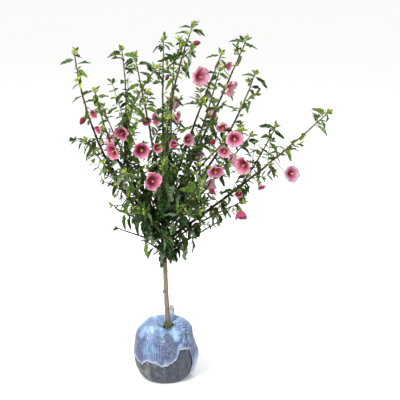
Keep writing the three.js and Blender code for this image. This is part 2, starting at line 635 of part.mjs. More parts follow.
// One mass of foliage: the leafy part of a cane with its forks, twigs, leaves and blooms fused on
function foliage(cane, stemBlank) {
  const parts = [];
  for (const [n, wand] of cane.wands.entries()) {
    const from = n === 0 && wand.from > 0 ? wand.from + GAP / wand.way.length : wand.from;
    parts.push(limb(wand.way, from, 1, wand.radius, TWIG_SIDES, wand.steps));
    parts.push(...leavesOf(cane, wand));
  }
  for (const bloom of cane.blooms) parts.push(...bloomParts(bloom));
  const whole = wasm.Manifold.union(parts);
  return cane.bare > 0 ? whole : whole.subtract(stemBlank);
}

function bough(cane, stemBlank) {
  const [{ way, radius }] = cane.wands;
  const steps = Math.max(2, Math.round(way.length * cane.bare / BOUGH_STEP));
  return limb(way, 0, cane.bare, radius, BOUGH_SIDES, steps).subtract(stemBlank);
}

const stemBlank = stem(GAP);
const plant = new THREE.Group();
plant.name = "cape_mallow_standard";
plant.add(mesh("root_ball", ball(0).translate(BALL_X, 0, 0), COLOURS.bag));
plant.add(mesh("film_wrap", film().translate(BALL_X, 0, 0), COLOURS.film));
plant.add(mesh("stem", stem(0), COLOURS.bark));
for (const cane of ALL_CANES) {
  if (cane.bare > 0) plant.add(mesh(`bough_${cane.name}`, bough(cane, stemBlank), COLOURS.bough));
  plant.add(mesh(`foliage_${cane.name}`, foliage(cane, stemBlank), COLOURS.foliage));
}

export default plant;
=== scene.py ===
# %% [markdown]
# # A cape mallow on one bare stem
# This notebook dresses a garden-shop shrub, a small pink hibiscus that is grown as a little tree. Its canes
# fan out from the top of one stem, and its root ball sits in a dark nursery bag under clear film. The solids
# come first, as a fixed frame in metres. Nothing in it is moved: each new piece stands where a solid stands.

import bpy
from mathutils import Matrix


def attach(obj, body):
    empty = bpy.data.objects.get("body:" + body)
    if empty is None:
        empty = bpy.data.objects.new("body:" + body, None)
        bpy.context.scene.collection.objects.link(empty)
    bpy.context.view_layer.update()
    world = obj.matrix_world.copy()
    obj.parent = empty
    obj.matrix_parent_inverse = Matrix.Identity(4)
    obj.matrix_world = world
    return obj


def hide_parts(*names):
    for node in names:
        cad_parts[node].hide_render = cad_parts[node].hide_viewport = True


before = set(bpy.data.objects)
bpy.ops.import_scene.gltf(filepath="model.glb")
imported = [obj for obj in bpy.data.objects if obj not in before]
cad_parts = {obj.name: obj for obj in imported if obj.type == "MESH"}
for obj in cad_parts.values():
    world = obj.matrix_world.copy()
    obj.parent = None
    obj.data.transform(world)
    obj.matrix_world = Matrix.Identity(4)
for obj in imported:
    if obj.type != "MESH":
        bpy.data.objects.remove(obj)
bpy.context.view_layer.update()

# %% The libraries
import math

import bpy
import numpy as np
from mathutils import Vector, noise

MM = 0.001  # every size below is in millimetres, and becomes metres when a mesh or a light is made
NODES = sorted(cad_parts)
print(len(NODES), "solids")

# %% [markdown]
# ## Camera
# The photograph was taken from a little above. A long lens far away would do as well, but the view then
# flattens, and the rim of the film would close over the root ball. Two metres off, one pixel of the
# photograph's 400 covers 2.1 mm at the stem.

# %% Camera
PIXEL = 2.1
VIEW_FAR = 2000
VIEW_RISE = math.radians(15)
VIEW_MIDDLE = (72.45, 0, 397.14)
PHOTO_PIXELS = 400
SENSOR = 36

lens = bpy.data.cameras.new("camera")
lens.sensor_width = SENSOR
lens.lens = SENSOR * VIEW_FAR / PIXEL / PHOTO_PIXELS
camera = bpy.data.objects.new("camera", lens)
back = Vector((0, -math.cos(VIEW_RISE), math.sin(VIEW_RISE)))
camera.location = (Vector(VIEW_MIDDLE) + VIEW_FAR * back) * MM
camera.rotation_euler = (math.pi / 2 - VIEW_RISE, 0, 0)
bpy.context.collection.objects.link(camera)
bpy.context.scene.camera = camera
print("lens of", round(lens.lens, 1), "mm")

# %% [markdown]
# ## Shader sums
# A material is a graph of nodes, and a graph is tiring to write by hand. The small class below wraps the
# output of a node, so that a sum on it, such as `1 - damp * 0.5`, adds the Math nodes by itself. The class
# after it is one finish: it sets the shader's constants, and its one method makes every other node.


# %% A value that changes over a surface
class Value:
    def __init__(self, finish, socket):
        self.finish = finish
        self.socket = socket

    def sum(self, operation, *numbers):
        return self.finish.node("ShaderNodeMath", {"operation": operation}, dict(enumerate(numbers)))

    def __add__(self, other):
        return self.sum("ADD", self, other)

    def __sub__(self, other):
        return self.sum("SUBTRACT", self, other)

    def __rsub__(self, other):
        return self.sum("SUBTRACT", other, self)

    def __mul__(self, other):
        return self.sum("MULTIPLY", self, other)

    __radd__ = __add__
    __rmul__ = __mul__


# %% A finish
class Finish:
    def __init__(self, name, **constants):
        self.material = bpy.data.materials.new(name)
        self.material.use_nodes = True
        self.nodes = self.material.node_tree.nodes
        self.shader = self.nodes["Principled BSDF"]
        self.fill(self.shader, {key.replace("_", " "): value for key, value in constants.items()})

    def fill(self, node, inputs):
        for name, value in inputs.items():
            socket = node.inputs[name]
            if isinstance(value, Value):
                self.material.node_tree.links.new(value.socket, socket)
            elif socket.type == "RGBA":
                socket.default_value = (*value[:3], 1)
            else:
                socket.default_value = value

    def node(self, kind, settings=None, inputs=None, output=0):
        made = self.nodes.new(kind)
        for name, value in (settings or {}).items():
            setattr(made, name, value)
        self.fill(made, inputs or {})
        return Value(self, made.outputs[output])

    def wear(self, **inputs):
        self.fill(self.shader, {key.replace("_", " "): value for key, value in inputs.items()})
        return self

    def mix(self, share, first, second):
        return self.node("ShaderNodeMix", {"data_type": "RGBA"}, {0: share, 6: first, 7: second}, 2)

    def between(self, value, low, high):
        """0 below `low`, 1 above `high`, and smooth in between."""
        limits = {"Value": value, "From Min": low, "From Max": high}
        return self.node("ShaderNodeMapRange", {"interpolation_type": "SMOOTHSTEP"}, limits)

    def grain(self, size, detail=3, stretch=(1, 1, 1)):
        """A cloudy value of that size in millimetres, drawn out along an axis by `stretch`."""
        place = self.node("ShaderNodeTexCoord", output="Object")
        shrink = [1 / s for s in stretch]
        place = self.node("ShaderNodeVectorMath", {"operation": "MULTIPLY"}, {0: place, 1: shrink})
        return self.node("ShaderNodeTexNoise", {}, {"Vector": place, "Scale": 1 / (size * MM), "Detail": detail})

    def field(self, name):
        """A value that the mesh carries at its points."""
        return self.node("ShaderNodeAttribute", {"attribute_name": name}, output="Fac")

    def bump(self, height, depth, strength=1.0):
        """A normal from a height between 0 and 1 that stands for `depth` millimetres."""
        return self.node("ShaderNodeBump", {}, {"Height": height, "Distance": depth * MM, "Strength": strength})


def paint(code):
    """The linear colour of a six-digit paint code."""
    shares = [int(code[k:k + 2], 16) / 255 for k in (0, 2, 4)]
    return tuple(s / 12.92 if s < 0.04045 else ((s + 0.055) / 1.055) ** 2.4 for s in shares)


print("a leaf's green is", [round(c, 3) for c in paint("40682f")])

# %% [markdown]
# ## Floor and light
# The plant stands on a plain pale floor. A cloudy sky would light it evenly and a bare sun would draw hard
# shadows. Three large soft lamps and a white world lie in between, so leaves keep their form and the gaps of
# the crown stay bright.

# %% Floor
FLOOR_HALF = 40000
corners = [(x * FLOOR_HALF * MM, y * FLOOR_HALF * MM, 0) for x, y in ((-1, -1), (1, -1), (1, 1), (-1, 1))]
floor_mesh = bpy.data.meshes.new("floor")
floor_mesh.from_pydata(corners, [], [(0, 1, 2, 3)])
floor = bpy.data.objects.new("floor", floor_mesh)
floor_finish = Finish("floor_paint", Roughness=0.9)
cloud = floor_finish.grain(900, 2)
floor_finish.wear(Base_Color=floor_finish.mix(cloud, (0.94, 0.94, 0.935), (0.96, 0.96, 0.955)))
floor_mesh.materials.append(floor_finish.material)
bpy.context.collection.objects.link(floor)

# %% Lamps
SKY_STRENGTH = 1.0
LAMPS = {  # place and width in millimetres, and watts
  "lamp_key": ((-1300, -1500, 2300), 700, 70),
  "lamp_fill": ((1900, -1300, 1300), 1500, 8),
  "lamp_back": ((500, 1700, 2100), 1200, 16),
}
LAMPS_AIM = Vector((60, 0, 480))
bpy.context.scene.view_settings.view_transform = "Standard"
world = bpy.data.worlds.new("studio")
world.use_nodes = True
world.node_tree.nodes["Background"].inputs["Color"].default_value = (1, 1, 1, 1)
world.node_tree.nodes["Background"].inputs["Strength"].default_value = SKY_STRENGTH
bpy.context.scene.world = world
for name, (place, width, watts) in LAMPS.items():
    lamp = bpy.data.lights.new(name, "AREA")
    lamp.shape = "DISK"
    lamp.size = width * MM
    lamp.energy = watts
    stand = bpy.data.objects.new(name, lamp)
    stand.location = Vector(place) * MM
    stand.rotation_euler = (LAMPS_AIM - Vector(place)).to_track_quat("-Z", "Y").to_euler()
    bpy.context.collection.objects.link(stand)
print(len(LAMPS), "lamps")

# %% [markdown]
# ## Meshes in bulk
# Thousands of leaves as separate objects would choke Blender. Their points and triangles are gathered in
# arrays instead and become one mesh at the end, with a finish for each face. Points are given row by row, as
# on a net, so that one helper can weave the triangles of a tube, a petal or a sheet.


# %% Directions and nets
def unit(vectors):
    return vectors / np.linalg.norm(vectors, axis=-1, keepdims=True)


def net(rows, columns, closed=True):
    """The triangles of a net of points. A closed one runs round anticlockwise, seen from its last row."""
    last = columns if closed else columns - 1
    row, column = np.meshgrid(np.arange(rows - 1), np.arange(last), indexing="ij")
    a = row * columns + column
    b = row * columns + (column + 1) % columns
    lower = np.stack([a, b, b + columns], -1)
    upper = np.stack([a, b + columns, a + columns], -1)
    return np.stack([lower, upper], 2).reshape(-1, 3)


def shell(grid, thick, closed=False):
    """A thin closed sheet along a net of points: two layers, joined round their edges."""
    rows, columns = grid.shape[:2]
    wide = np.concatenate([grid[:, -1:], grid, grid[:, :1]], 1) if closed else grid
    across = np.gradient(wide, axis=1)[:, 1:-1] if closed else np.gradient(wide, axis=1)
    normal = unit(np.cross(across, np.gradient(grid, axis=0)) + 1e-9)
    points = np.concatenate([(grid + normal * thick / 2).reshape(-1, 3), (grid - normal * thick / 2).reshape(-1, 3)])
    count = rows * columns
    front = net(rows, columns, closed)
    index = np.arange(count).reshape(rows, columns)
    around = np.concatenate([index, index[:, :1]], 1) if closed else index
    edges = [around[0][::-1], around[-1]]
    if not closed:
        edges += [index[:, 0], index[::-1, -1]]
    rims = []
    for edge in edges:
        a, b = edge[:-1], edge[1:]
        rims.append(np.concatenate([np.stack([a, b, b + count], -1), np.stack([a, b + count, a + count], -1)]))
    return points, np.concatenate([front, front[:, ::-1] + count, *rims])


# %% Tubes
def tube(middle, radius, sides):
    """A closed round limb along some points. Its frame is carried along, so that it never twists."""
    middle = np.asarray(middle, float)
    radius = np.broadcast_to(radius, len(middle))
    along = unit(np.gradient(middle, axis=0))
    side = np.cross(along[0], (0.31, 0.17, 0.94) if abs(along[0][2]) < 0.8 else (1, 0.2, 0))
    sideways = []
    for way in along:
        side = side - way * (side @ way)
        side = side / np.linalg.norm(side)
        sideways.append(side)
    sideways = np.array(sideways)
    second = np.cross(along, sideways)
    turn = np.arange(sides) * 2 * math.pi / sides
    ring = sideways[:, None] * np.cos(turn)[:, None] + second[:, None] * np.sin(turn)[:, None]
    points = (middle[:, None] + ring * radius[:, None, None]).reshape(-1, 3)
    foot, tip = len(points), len(points) + 1
    now = np.arange(sides)
    after = (now + 1) % sides
    top = (len(middle) - 1) * sides
    caps = [np.stack([after, now, np.full(sides, foot)], -1)]
    caps.append(np.stack([now + top, after + top, np.full(sides, tip)], -1))
    return np.concatenate([points, middle[:1], middle[-1:]]), np.concatenate([net(len(middle), sides), *caps])


# %% One mesh from many shapes
SHARP = math.radians(62)


class Batch:
    def __init__(self):
        self.points = []
        self.faces = []
        self.finishes = []
        self.count = 0

    def add(self, points, faces, finish=0):
        self.points.append(points)
        self.faces.append(faces + self.count)
        self.finishes.append(np.broadcast_to(finish, len(faces)))
        self.count += len(points)


def make_piece(name, batch, finishes, nodes, fields=None):
    points = np.concatenate(batch.points) * MM
    faces = np.concatenate(batch.faces)
    mesh = bpy.data.meshes.new(name)
    mesh.vertices.add(len(points))
    mesh.vertices.foreach_set("co", points.astype(np.float32).ravel())
    mesh.loops.add(3 * len(faces))
    mesh.loops.foreach_set("vertex_index", faces.astype(np.int32).ravel())
    mesh.polygons.add(len(faces))
    mesh.polygons.foreach_set("loop_start", np.arange(0, 3 * len(faces), 3, dtype=np.int32))
    mesh.update(calc_edges=True)
    for finish in finishes:
        mesh.materials.append(finish.material)
    mesh.polygons.foreach_set("material_index", np.concatenate(batch.finishes).astype(np.int32))
    mesh.shade_smooth()
    mesh.set_sharp_from_angle(angle=SHARP)
    for field, values in (fields or {}).items():
        mesh.attributes.new(field, "FLOAT", "POINT").data.foreach_set("value", values.astype(np.float32))
    piece = bpy.data.objects.new(name, mesh)
    bpy.context.collection.objects.link(piece)
    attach(piece, "root")
    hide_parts(*nodes)
    print(name, "has", len(faces), "triangles")


# %% [markdown]
# ## Relief
# Crumpled film, a slack bag and bark are all relief. Painted bumps alone would leave their outlines smooth,
# so the points themselves move. Two kinds of noise are enough: clouds for soft swells, and the borders of
# Voronoi cells for creases, because crumpled sheet is made of flat facets with sharp folds between them.


# %% Relief helpers
def clouds(points, size, shift=0.0):
    """Soft swells between about -1 and 1."""
    moved = points.reshape(-1, 3) / size + shift
    return np.array([noise.noise(p) for p in moved]).reshape(points.shape[:-1]) * 1.6


def facets(points, size, shift=0.0):
    """0 along creases, and rising to about 1 in the middle of each facet between them."""
    moved = points.reshape(-1, 3) / size + shift
    cells = (noise.voronoi(p)[0] for p in moved)
    return np.array([far[1] - far[0] for far in cells]).reshape(points.shape[:-1])


def step(values, low, high):
    share = np.clip((values - low) / (high - low), 0, 1)
    return share * share * (3 - 2 * share)


def bell(values, middle, width):
    return np.exp(-(((values - middle) / width) ** 2))


# %% [markdown]
# ## The root ball
# A soft black nursery bag is filled with compost and sits flat on the floor, a little dented. A lathe makes
# the solid. Here the same profile is followed with many more points, and the bag gets slack folds that run
# down and inwards, and small crumples.

# %% The outline of the ball
BALL_PROFILE = [  # radius and height
    (0, 0), (46, 0), (56, 6), (65, 32), (67, 56), (64, 78), (55, 96), (40, 107), (24, 110), (0, 110),
]
SOIL_HEIGHT = 110
BALL_X = -4  # its middle stands a little left of the stem's foot
DENT = 0.025
BALL_SIDES = 300
BALL_ROWS = 190
CORNER_SOFT = 9  # mm of the profile over which its corners are rounded


def dent(angle, height):
    broad = np.sin(2 * angle + 0.6) + 0.7 * np.sin(3 * angle + height / 19)
    lumps = broad + 0.5 * np.sin(5 * angle - height / 13)
    return 1 + DENT * lumps * np.sin(math.pi * np.minimum(1, height / SOIL_HEIGHT))


def ball_radius(angle, height):
    radii, heights = np.array(BALL_PROFILE[1:-1]).T
    return np.interp(height, heights, radii) * dent(angle, height)


def soft_line(points, count, soft):
    """`count` points along straight runs, with the corners rounded by averaging."""
    points = np.array(points, float)
    along = np.concatenate([[0], np.cumsum(np.linalg.norm(np.diff(points, axis=0), axis=1))])
    spots = np.linspace(0, along[-1], count)
    shifts = np.linspace(-soft, soft, 9)
    near = [[np.interp(spots + shift, along, axis) for axis in points.T] for shift in shifts]
    return np.mean(near, axis=0).T


def front_degrees(angle):
    """Degrees from the front towards the right, for an angle from +X towards +Y."""
    return np.degrees(np.arctan2(np.cos(angle), -np.sin(angle)))


# %% The bag
angle = np.arange(BALL_SIDES) * 2 * math.pi / BALL_SIDES
profile = soft_line(BALL_PROFILE[1:-1], BALL_ROWS, CORNER_SOFT)
profile[:, 1] = np.maximum(profile[:, 1], 0)
radius, height = profile[:, :1], profile[:, 1:]
size = radius * dent(angle[None], height)
place = np.stack([size * np.cos(angle), size * np.sin(angle), height + 0 * angle], -1)
slack = step(height, 2, 16) * (1 - step(height, 84, 104))
leaning = angle[None] + 0.5 * clouds(place * (1, 1, 0.4), 60, 3)
folds = np.abs(np.sin(7 * leaning + 0.02 * height)) ** 0.6 - 0.7
crumple = facets(place * (1, 1, 0.6), 15, 7) - 0.35
fine = facets(place, 6, 11) - 0.35
relief = slack * (1.4 * folds * (1 - step(height, 30, 78)) + 1.6 * crumple + 0.5 * fine)
relief = np.minimum(relief, 0.5)
size = size + relief
bag_points = np.stack([BALL_X + size * np.cos(angle), size * np.sin(angle), height + 0 * angle], -1)
bag = Batch()
caps = np.array([[BALL_X, 0, 0], [BALL_X, 0, SOIL_HEIGHT]], float)
now = np.arange(BALL_SIDES)
after = (now + 1) % BALL_SIDES
top = (BALL_ROWS - 1) * BALL_SIDES
foot = BALL_ROWS * BALL_SIDES
closing = [np.stack([after, now, 0 * now + foot], -1)]
closing.append(np.stack([now + top, after + top, 0 * now + foot + 1], -1))
bag.add(np.concatenate([bag_points.reshape(-1, 3), caps]), np.concatenate([net(BALL_ROWS, BALL_SIDES), *closing]))
bag_fields = {
    # painted shade: the hollows of the folds, taken from the relief
    "fold_shade": np.concatenate([np.clip(0.5 - relief / 2.4, 0, 1).ravel(), [0, 0]]),
    # painted shade: the right side of the bag, painted darker and bluish
    "right": np.concatenate([step(bag_points[..., 0] - bag_points[..., 1], -10, 90).ravel(), [0, 0]]),
}

# %% [markdown]
# The bag's plastic is dark grey, with a soft shine and a cloudy bloom of paler dust. A plain grey would look
# like rubber, so the hollows of the folds get painted shade, and the right side a darker, bluish painted shade.

# %% The bag's finish
bag_finish = Finish("bag_plastic", Specular_IOR_Level=0.5)
fold_shade = bag_finish.field("fold_shade")
dust = bag_finish.between(bag_finish.grain(16, 5), 0.43, 0.62)
speck = bag_finish.between(bag_finish.grain(2.2, 3), 0.55, 0.7)
grey = bag_finish.mix(dust, paint("3a3e45"), paint("8f9193"))
# painted shade: the right side is painted a darker, bluish grey
grey = bag_finish.mix(bag_finish.field("right") * 0.8, grey, paint("35435a"))
# painted shade in the hollows of the folds
grey = bag_finish.mix(fold_shade * 0.85, grey, paint("22252d"))
grey = bag_finish.mix(speck * 0.3, grey, paint("a5a8a6"))
bag_finish.wear(
    Base_Color=grey,
    Roughness=0.42 + 0.3 * dust,
    Normal=bag_finish.bump(bag_finish.grain(3.5, 4), 0.4, 0.5),
)
make_piece("bag", bag, [bag_finish], ["root_ball"], bag_fields)

# %% [markdown]
# The top of the ball is compost. Only a small ring of it shows between the film and the stem, so it is a low
# mound of crumbs rather than thousands of loose grains.

# %% The compost
COMPOST_R = 30
COMPOST_RINGS = 40
COMPOST_SIDES = 120
COMPOST_RISE = 1.2
rings = np.linspace(0.02, 1, COMPOST_RINGS)[:, None] * COMPOST_R
turn = np.arange(COMPOST_SIDES) * 2 * math.pi / COMPOST_SIDES
flat = np.stack([rings * np.cos(turn), rings * np.sin(turn), 0 * rings + 0 * turn], -1)
crumbs = 0.9 * facets(flat, 4, 5) + 0.5 * clouds(flat, 2.2, 9)
rise = SOIL_HEIGHT - 0.6 + COMPOST_RISE * (1 - (rings / COMPOST_R) ** 4) + crumbs * (1 - step(rings, 24, 30))
flat[..., 2] = np.maximum(rise, SOIL_HEIGHT - 0.8)
points, faces = shell(flat[::-1], 0.6, closed=True)
compost = Batch()
compost.add(points, faces)
compost_finish = Finish("compost", Roughness=0.95, Specular_IOR_Level=0.2)
crumb = compost_finish.grain(2.5, 5)
soil = compost_finish.mix(compost_finish.between(crumb, 0.35, 0.65), paint("1f2014"), paint("4a4a2c"))
compost_finish.wear(Base_Color=soil, Normal=compost_finish.bump(crumb, 0.8))
make_piece("compost", compost, [compost_finish], ["root_ball"])

# %% [markdown]
# ## The film
# Clear film is drawn over the shoulders of the ball and gathered round the foot of the stem. It mirrors the
# sky, and its colours are painted reflection and shade: lavender on one side and cyan on the other, a painted
# white highlight on the swells between its creases and along its ragged lower edge, a painted sheen on top,
# and painted violet shade in its creases and low down. Real clear film would need glass, which is noisy and
# loses its looks in an export. An opaque thin sheet with those painted colours gives the same picture from
# every side.

# %% The film's outline
FILM_SIDES = 360
FILM_ROWS = 112
FILM_THICK = 0.5
FILM_OFF = 2
FILM_NEAREST = 1.3  # mm off the bag, at least
FILM_EDGE = [  # the ragged lower edge: degrees from the front towards the right, and height
    (-180, 50), (-120, 40), (-69, 60), (-44, 45), (-30, 56), (3, 48), (21, 57), (30, 80), (56, 80), (60, 52),
    (63, 18), (70, 11), (92, 10), (104, 26), (122, 44), (180, 50),
]
FILM_SIDE_TOP = 76
FILM_DOME = [  # radius, height and share of the dip in front, from the side of the ball to the stem
    (63.5, 92, 0), (57, 106, 0.2), (48, 119, 0.6), (38, 127, 0.9), (29, 128, 1), (20, 121, 0.55), (13, 115, 0.15),
    (8.6, 112, 0),
]
FILM_GATHER = (16, 44)  # radii between which the film's middle moves over to the stem's
FILM_DIP = 15
FILM_DIP_WIDTH = 32
STEM_X = 3
FILM_LEAN = 3  # mm that the dome stands further out on the left than on the right
FILM_BLUR = 4  # rows on either side over which the outline is rounded

turn = np.arange(FILM_SIDES) * 2 * math.pi / FILM_SIDES
side = front_degrees(turn)
circle = 67 * np.stack([np.cos(turn), np.sin(turn), 0 * turn], -1)
ragged = 2.2 * clouds(circle, 5, 21) + 2.6 * clouds(circle, 15, 22)
edge = np.interp(side, *np.array(FILM_EDGE, float).T) + ragged
side_top = np.maximum(FILM_SIDE_TOP, edge + 6)
knots = []
for share in (0, 0.35, 0.7, 1):
    z = edge + (side_top - edge) * share
    knots.append((ball_radius(turn, z) + FILM_OFF, z))
for r, z, dip in FILM_DOME:
    lean = -FILM_LEAN * np.cos(turn) * bell(z, 100, 18)
    knots.append((r + lean, z - dip * FILM_DIP * bell(side, 0, FILM_DIP_WIDTH)))
knots = np.array(knots)
chords = np.linalg.norm(np.diff(knots, axis=0), axis=1).mean(-1)
along = np.concatenate([[0], np.cumsum(chords)])
spots = np.linspace(0, along[-1], FILM_ROWS)
before = np.clip(np.searchsorted(along, spots, side="right") - 1, 0, len(along) - 2)
share = ((spots - along[before]) / chords[before])[:, None, None]
line = knots[before] * (1 - share) + knots[before + 1] * share
padded = np.pad(line, ((FILM_BLUR, FILM_BLUR), (0, 0), (0, 0)), mode="edge")
line = np.mean([padded[k:k + FILM_ROWS] for k in range(2 * FILM_BLUR + 1)], axis=0)
film_r, film_z = line[:, 0], line[:, 1]
gathered = (STEM_X - BALL_X) * (1 - step(film_r, *FILM_GATHER))
film = np.stack([film_r * np.cos(turn) + gathered, film_r * np.sin(turn), film_z], -1)
print("the film runs from", round(film_z.min(), 1), "to", round(film_z.max(), 1), "mm above the floor")

# %% [markdown]
# The photograph shows different creases in different places. Fine upright wrinkles run down the left of the
# front, a smooth dark bulge lies under the stem, and loose facets cover the rest. Each has a mask of its own,
# in degrees round the ball and height.

# %% The film's creases
WRINKLE_COUNT = 88
PLEATS = 23
BULGE = (9, 17, 87, 31)  # degrees to the right, half its width, height, half its height
TUCK = (1, 9, 64, 8)
TONGUE = (82, 18)  # degrees to the right and half its width
TONGUE_OFF = 3.5  # mm that it hangs off the bag


def oval(spot):
    right, wide, high, tall = spot
    far = np.sqrt(((side - right) / wide) ** 2 + ((film_z - high) / tall) ** 2)
    return 1 - step(far, 0.5, 1.2)


bulge = oval(BULGE)
tuck = oval(TUCK)
smooth = np.maximum(bulge, 0.7 * tuck)
wrinkled = step(side, -56, -36) * (1 - step(side, -12, 2)) * step(film_z, 46, 60) * (1 - step(film_z, 104, 122))
sway = clouds(film * (1, 1, 0.25), 11, 31)
wrinkles = np.sin(WRINKLE_COUNT * turn + 2.6 * sway)
pleats = np.sin(PLEATS * turn + 3 * clouds(film, 18, 32)) * (1 - step(film_r, 26, 50))
broad = 24 + 0.6 * film_r
drawn_out = np.stack([broad * np.cos(turn), broad * np.sin(turn), spots[:, None] * 0.5 + 0 * film_z], -1)
drawn_out = drawn_out + 2.5 * clouds(film, 9, 37)[..., None]
swell = 1.7 * clouds(film, 25, 33)
large = 2.8 * (facets(drawn_out, 21, 34) - 0.42)
middling = 1.2 * (facets(drawn_out, 9, 35) - 0.42)
small = 0.9 * (facets(drawn_out, 4.5, 36) - 0.42)
calm = (1 - 0.75 * smooth) * (1 - 0.45 * wrinkled)
mottled = np.maximum(oval((66, 34, 113, 19)), oval((-54, 17, 88, 15)))
loose = (swell + large + middling + small * (1 + 0.8 * mottled)) * calm
tongue = TONGUE_OFF * bell(side, *TONGUE) * (1 - step(film_z, 50, 80))
uneven = 0.65 + 0.5 * clouds(film, 14, 38)
shoulder = 7.5 * bell(side, 100, 45) * bell(film_z, 110, 15)
soft = tongue + 1.4 * bulge + shoulder
relief = loose + 0.9 * wrinkles * wrinkled * uneven + 0.35 * pleats + soft
wide = np.concatenate([film[:, -1:], film, film[:, :1]], 1)
out = unit(np.cross(np.gradient(wide, axis=1)[:, 1:-1], np.gradient(film, axis=0)))
film = film + out * relief[..., None]
reach = np.hypot(film[..., 0], film[..., 1])
least = np.where(film[..., 2] < 104, ball_radius(turn, film[..., 2]) + FILM_NEAREST, 0)
film[..., :2] *= (np.maximum(reach, least) / reach)[..., None]
film[..., 0] += BALL_X
# painted highlight: the film's ragged lower edge and the tongue are painted pale
low_rim = np.exp(-np.linalg.norm(film - film[:1], axis=-1) / 2.2)
low_rim = np.maximum(low_rim, 0.6 * bell(side, *TONGUE) * (1 - step(film_z, 30, 66)))
film_points, film_faces = shell(film, FILM_THICK, closed=True)
film_fields = {
    # painted shade in the creases and a painted highlight on the swells between them
    "crease": np.clip(0.42 - (relief - soft - 0.5 * swell * calm) / 3.4, 0, 1),
    "mottled": mottled,
    "bulge": np.maximum(bulge, 0.75 * tuck),
    "low_rim": low_rim,
    # painted shade low on the film, where it reflects the ground
    "low": 1 - step(film_z, 54, 112),
    # painted sheen on the top of the dome
    "top": step(film_z, 96, 120),
    # painted reflection of the sky: cool cyan on the right and in a patch high on the left
    "right": np.maximum(step(side, -14, 24) + 0 * film_z, oval((-46, 22, 114, 14))),
}
film_fields = {name: np.tile(values.ravel(), 2) for name, values in film_fields.items()}

# %% [markdown]
# A torn scrap of the film stands up behind the stem. It is a small sheet of its own in the same piece.

# %% The scrap behind the stem
SCRAP_AT = (10, 31, 112)
SCRAP_TALL = 35
SCRAP_HALF = 7.5
SCRAP_TURN = math.radians(-12)
SCRAP_ROWS = 30
SCRAP_COLUMNS = 16
up, across = np.meshgrid(np.linspace(0, 1, SCRAP_ROWS), np.linspace(-1, 1, SCRAP_COLUMNS), indexing="ij")
half = SCRAP_HALF * (1 - 0.6 * up ** 2)
scrap = np.stack([across * half, 2.5 * across ** 2 - 9 * up ** 2 * 0.2, SCRAP_TALL * up], -1)
scrap[..., 1] += 1.6 * facets(scrap, 9, 41) + 1.2 * clouds(scrap, 12, 42)
scrap[..., 0] += 1.4 * clouds(scrap, 10, 43)
turned = scrap.copy()
turned[..., 1] = scrap[..., 1] - math.tan(SCRAP_TURN) * scrap[..., 2]
turned = (turned + np.array(SCRAP_AT))[:, ::-1]
scrap_points, scrap_faces = shell(turned, FILM_THICK)
film_batch = Batch()
film_batch.add(film_points, film_faces)
film_batch.add(scrap_points, scrap_faces, 1)
for name, value in {"crease": 0.5, "bulge": 0, "low_rim": 0, "low": 0, "top": 0, "right": 0, "mottled": 0}.items():
    film_fields[name] = np.concatenate([film_fields[name], np.full(len(scrap_points), value)])

# %% The film's finish
film_finish = Finish("film_clear", Specular_IOR_Level=0.6, Coat_Roughness=0.15)
crease = film_finish.field("crease")
on_bulge = film_finish.field("bulge")
rim_highlight = film_finish.field("low_rim")
cast = film_finish.grain(24, 3)
# painted reflection of the sky: lavender on the left, cyan on the right
sky_reflection = film_finish.field("right") * 0.6 + film_finish.between(cast, 0.4, 0.62) * 0.3
colour = film_finish.mix(sky_reflection, paint("7790bb"), paint("84acce"))
# painted sheen: the top of the dome is painted lighter
colour = film_finish.mix(film_finish.field("top") * 0.6, colour, paint("9fbce3"))
# painted shade: the film is painted darker low down
colour = film_finish.mix(film_finish.field("low") * 0.66, colour, paint("51668f"))
teal = film_finish.between(film_finish.grain(17, 3), 0.53, 0.64)
colour = film_finish.mix(teal * 0.5, colour, paint("7fa9ae"))
# painted shade: violet in the creases, with less of it on the top
folded = film_finish.between(crease, 0.4, 0.84) * (0.96 - 0.45 * film_finish.field("top"))
colour = film_finish.mix(folded, colour, paint("39436c"))
# painted highlight: white on the swells between the creases
swell_highlight = 1 - film_finish.between(crease, 0.02, 0.36)
colour = film_finish.mix(swell_highlight * 0.6, colour, paint("c2d2ea"))
blot = film_finish.between(film_finish.grain(4, 4), 0.47, 0.58)
colour = film_finish.mix(film_finish.field("mottled") * blot, colour, paint("333d55"))
damp = film_finish.between(film_finish.grain(13, 4), 0.56, 0.68)
colour = film_finish.mix(damp * 0.5, colour, paint("5b6a86"))
scratch = film_finish.between(film_finish.grain(5, 5, (1, 1, 1.5)), 0.52, 0.64)
colour = film_finish.mix(scratch * 0.3, colour, paint("46527a"))
speckle = film_finish.between(film_finish.grain(4, 4), 0.4, 0.66)
plum = film_finish.mix(speckle, paint("363d5a"), paint("656c8a"))
colour = film_finish.mix(film_finish.between(on_bulge, 0.05, 0.75) * 0.92, colour, plum)
# painted highlight along the lower edge and the tongue
colour = film_finish.mix(rim_highlight * 0.7, colour, paint("e3e6f2"))
film_finish.wear(
    Base_Color=colour,
    Roughness=0.2 + 0.25 * cast,
    Normal=film_finish.bump(film_finish.grain(2.6, 4), 0.5, 0.5),
)
scrap_finish = Finish("film_scrap", Roughness=0.4)
stain = scrap_finish.between(scrap_finish.grain(5, 3), 0.4, 0.6)
scrap_finish.wear(Base_Color=scrap_finish.mix(stain, paint("7d8a84"), paint("b3bcb9")))
make_piece("film", film_batch, [film_finish, scrap_finish], ["film_wrap"], film_fields)

# %% [markdown]
# ## The stem
# One bare stem, tan with a pinkish grey cast, no thicker than a finger. Its bark is nearly smooth: it has
# fine upright cracks, pale pores and a few knots where shoots were rubbed off. The outline follows the same
# tapering line as the solid, and the cracks and knots are moved points, so they also show against the light.

